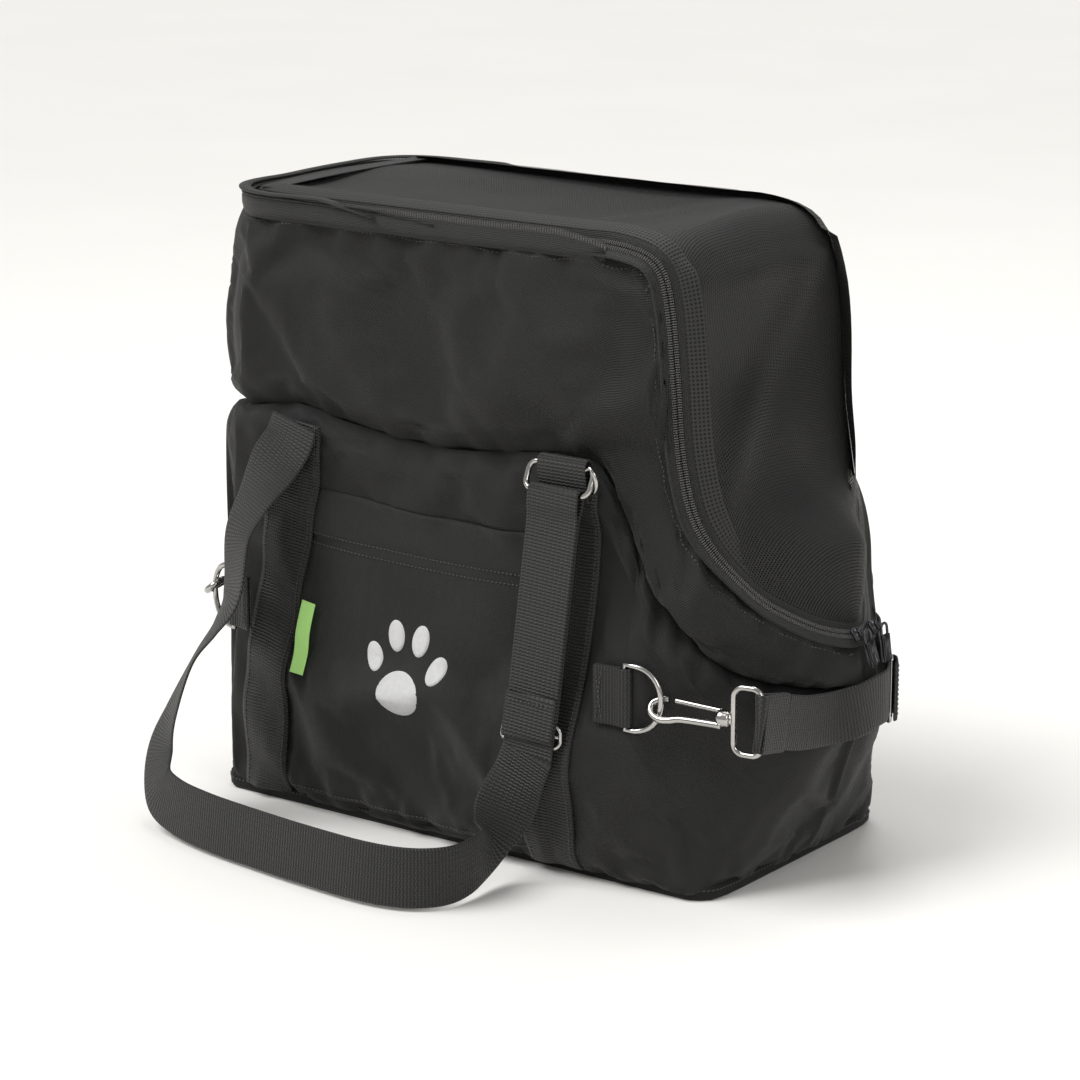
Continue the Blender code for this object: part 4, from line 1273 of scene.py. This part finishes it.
LEFT_RUN = Vector((-0.95, 0.31, 0)).normalized()
LEFT_N = Vector((-0.31, -0.95, 0)).normalized()
left_tab = Vector((-0.1745, -0.1185, 0.142))
tab("left_tab_web", left_tab, LEFT_RUN, LEFT_N, 0.020, 0.038, "left_tab")
ring = tube("left_ring", d_outline(left_tab, LEFT_RUN, Z, 0.0212, 0.0245), 0.0019, NICKEL)
place(ring, "left_clip", "left_d_ring")
HOOK_RUN = Vector((-0.24, 0.971, 0)).normalized()
HOOK_N = Vector((-0.971, -0.24, 0)).normalized()
left_nose = left_tab + LEFT_RUN * 0.0245 + Z * 0.003
hook("left", left_nose, HOOK_RUN, HOOK_N, 52)

# ---- stowed shoulder strap --------------------------------------------------------------------
SHOULDER = [
    (0.2390, -0.0780, 0.1210), (0.2400, -0.0550, 0.1150), (0.2440, -0.0300, 0.1125),
    (0.2535, -0.0140, 0.1150), (0.2568, 0.0, 0.1180), (0.2558, 0.0150, 0.1185),
    (0.2470, 0.0320, 0.1185), (0.2340, 0.0490, 0.1185), (0.2200, 0.0655, 0.1190),
    (0.2090, 0.0820, 0.120), (0.1990, 0.1000, 0.121), (0.1840, 0.1150, 0.121),
    (0.1620, 0.1280, 0.121), (0.1350, 0.1370, 0.121), (0.1100, 0.1415, 0.121),
    (0.0850, 0.1430, 0.121), (0.0550, 0.1410, 0.121),
    (0.0200, 0.1380, 0.122), (-0.0200, 0.1330, 0.123), (-0.0600, 0.1280, 0.125),
    (-0.1000, 0.1250, 0.127), (-0.1400, 0.1225, 0.130), (-0.1700, 0.1170, 0.133),
    (-0.1965, 0.1065, 0.135), (-0.2110, 0.0835, 0.137), (-0.2175, 0.0550, 0.139),
    (-0.2195, 0.0250, 0.141), (-0.2205, 0.0000, 0.142),
]
path = catmull([Vector(p) for p in SHOULDER], 10)
strap = webbing("shoulder_web", path, [Z] * len(path), WEB, 0.0019,
                share=lambda i: 0.90 + 0.10 * clip((i - 70) / 30))
place(strap, "bag", "shoulder_strap")


def end_loop(name, eye, tip, body, node):
    run = (tip - eye).normalized()
    side = Z.cross(run).normalized()
    points = [tip + run * 0.003 + side * 0.0013, eye + run * 0.010 + side * 0.0022]
    for k in range(9):
        a = math.pi * k / 8
        points.append(eye + side * 0.0031 * math.cos(a) - run * 0.0031 * math.sin(a))
    points += [eye + run * 0.010 - side * 0.0022, tip + run * 0.003 - side * 0.0013]
    points = catmull(points, 5)
    obj = webbing(name, points, [Z] * len(points), 0.0372, 0.0016)
    place(obj, body, node)


RIGHT_TIP = Vector((0.2390, -0.0820, 0.1218))
LEFT_TIP = Vector((-0.2200, -0.0040, 0.142))
end_loop("right_end_web", right_nose + RIGHT_RUN * 0.068, RIGHT_TIP, "right_eye", "right_strap_end")
end_loop("left_end_web", left_nose + HOOK_RUN * 0.068, LEFT_TIP, "left_eye", "left_strap_end")
ADJUST_RUN = Vector((-0.575, 0.818, 0)).normalized()
ADJUST_OUT = Vector((0.818, 0.575, 0)).normalized()
ADJUST = Vector((0.2450, 0.0380, 0.1170))
adjuster = join("adjuster", slider_frame(ADJUST, ADJUST_RUN, Z, ADJUST_OUT, 0.0475, 0.018, 0.0013))
fold_patch("adjuster_fold", ADJUST + ADJUST_OUT * 0.0012, -ADJUST_RUN, Z, ADJUST_OUT, "bag", -0.0040, 0.0130)
place(adjuster, "bag", "strap_adjuster")

# ---- zip sliders and pulls -----------------------------------------------------------------------
for word, y in (("front", -0.0095), ("back", 0.0115)):
    p = Vector((0.2440, y, 0.1600))
    up = Vector((-0.60, 0, 0.80))
    normal = Vector((0.80, 0, 0.60))
    body = [block(p + normal * 0.0048, (0.0084, 0.0095, 0.0032), (Y, up, normal), BLACK, 0.0010),
            block(p + normal * 0.0072, (0.0022, 0.0070, 0.0026), (Y, up, normal), BLACK, 0.0007)]
    body = join(word + "_slider_body", body)
    place(body, word + "_slider", word + "_zip_slider")
    top = p + normal * 0.0090 + Vector((0.0020, 0, 0))
    hang = (Vector((0.10, 0.30 if y < 0 else 0.04, -0.95))).normalized()
    side = X.cross(hang).normalized()
    face = hang.cross(side).normalized()
    start = top + X * 0.0012
    eyelet = rounded(start + hang * 0.0036, hang, side, 0.0046, 0.0034, 0.0030, 5)
    pull = [tube("p", eyelet, 0.0009, BLACK, 10),
            block(start + hang * 0.0150, (0.0017, 0.0074, 0.0160), (face, side, hang), BLACK, 0.0006),
            block(start + hang * 0.0142, (0.0023, 0.0050, 0.0100), (face, side, hang), BLACK, 0.0007)]
    pull = join(word + "_pull_tab", pull)
    place(pull, word + "_pull", word + "_zip_pull")

# ---- label and emblem ---------------------------------------------------------------------------------
LABEL_PATH = ((-0.1195, 0.0985), (-0.1185, 0.112), (-0.1165, 0.128), (-0.1140, 0.1470))
label_path = [on_wall(x, z, -1, 0.0070 + 0.002 * math.sin(k)) for k, (x, z) in enumerate(LABEL_PATH)]
label_path = catmull(label_path, 8)
label = webbing("label", label_path, [Vector((1, 0, 0.1))] * len(label_path), 0.0118, 0.0009, mat=LABEL)
place(label, "bag", "label_tag")


def front_point(x, z, lift):
    hit = front_tree.ray_cast(Vector((x, -0.3, z)), Y)
    y = hit[0].y if hit[0] is not None else -0.12
    return Vector((x, y - lift, z))


front_tree = BVHTree.FromObject(pocket_front, bpy.context.evaluated_depsgraph_get())


def stitched_pad(name, cx, cz, rx, rz, turn, lift=0.0012):
    """Domed pad of satin stitch following the pocket."""
    rings = 7
    steps = 36
    rows = []
    for r in range(rings + 1):
        t = r / rings
        row = []
        for k in range(steps):
            a = 2 * math.pi * k / steps
            u = rx * t * math.cos(a)
            v = rz * t * math.sin(a)
            x = cx + u * math.cos(turn) - v * math.sin(turn)
            z = cz + u * math.sin(turn) + v * math.cos(turn)
            height = lift * math.sqrt(max(0.0, 1 - t ** 4)) - (0.0004 if r == rings else 0.0)
            row.append(front_point(x, z, height))
        rows.append(row)
    verts = [p for row in rows for p in row]
    uvs = [(p.x, p.z) for p in verts]
    faces = []
    for r in range(rings):
        for k in range(steps):
            q = (k + 1) % steps
            faces.append([r * steps + k, r * steps + q, (r + 1) * steps + q, (r + 1) * steps + k][::-1])
    return make(name, verts, faces, SILVER, uvs)


# Paw print: the palm, then the toes. Centre, half width, half height and turn of each pad.
PADS = ((-0.028, 0.102, 0.0185, 0.0150, 0.0), (-0.0555, 0.121, 0.0070, 0.0100, 0.45),
        (-0.0385, 0.137, 0.0074, 0.0108, 0.16), (-0.0175, 0.137, 0.0074, 0.0108, -0.16),
        (-0.0005, 0.121, 0.0070, 0.0100, -0.45))
pads = [stitched_pad("pad" + str(n), *pad) for n, pad in enumerate(PADS)]
place(join("emblem", pads), "bag")

# ---- stitching round the seams -------------------------------------------------------------------------
graph = bpy.context.evaluated_depsgraph_get()
high = BVHTree.FromObject(body_collar, graph)
line = []
facing = []
for p, lean, normal, out in LOOP + LOOP[:1]:
    spot, face, _, _ = high.find_nearest(p - lean * 0.0085)
    line.append(spot + face * 0.0003)
    facing.append(face)
place(stitches("collar_seam", line, facing), "bag")
line = [p + o * 0.0026 + Z * 0.0070 for p, o in zip(foot, foot_out)]
place(stitches("base_seam", line + line[:1], foot_out + foot_out[:1]), "bag")

# ---- floor, light, camera --------------------------------------------------------------------------------
bpy.ops.mesh.primitive_plane_add(size=12, location=(0, 0, -0.0002))
floor = bpy.context.object
floor.name = "floor"
s = Shader("floor", 0.85)
s.colour(s.noise(3.0), [(0.3, (0.88, 0.87, 0.84)), (0.7, (0.90, 0.89, 0.86))])
floor.data.materials.append(s.finish(s.bump(s.noise(400.0), 0.0001, 0.1)))


def area(name, place, target, size, power, colour=(1, 1, 1)):
    data = bpy.data.lights.new(name, "AREA")
    data.size = size
    data.energy = power
    data.color = colour
    obj = bpy.data.objects.new(name, data)
    obj.location = place
    obj.rotation_euler = (Vector(target) - Vector(place)).to_track_quat("-Z", "Y").to_euler()
    link_in(obj)


area("side", (2.2, -0.7, 1.3), (0.05, 0, 0.2), 1.0, 12)
area("top", (-0.2, 0.6, 2.0), (0, 0, 0.2), 0.9, 14)
sun_data = bpy.data.lights.new("sun", "SUN")
sun_data.energy = 2.35
sun_data.angle = math.radians(38)
sun = bpy.data.objects.new("sun", sun_data)
sun.rotation_euler = Vector((-0.75, -0.85, 1.55)).to_track_quat("Z", "Y").to_euler()
link_in(sun)
bpy.context.scene.view_settings.view_transform = "Standard"
world = bpy.data.worlds.new("studio")
world.use_nodes = True
world.node_tree.nodes["Background"].inputs[0].default_value = (1.0, 0.99, 0.97, 1)
world.node_tree.nodes["Background"].inputs[1].default_value = 0.42
bpy.context.scene.world = world

az = math.radians(36.4)
el = math.radians(14.55)
back = Vector((math.sin(az) * math.cos(el), -math.cos(az) * math.cos(el), math.sin(el)))
data = bpy.data.cameras.new("camera")
data.lens = 116.7
data.sensor_width = 36
camera = bpy.data.objects.new("camera", data)
camera.location = Vector((-0.006, 0, 0.1828)) + back * 2.3408
camera.rotation_euler = (-back).to_track_quat("-Z", "Y").to_euler()
bpy.context.scene.camera = link_in(camera)
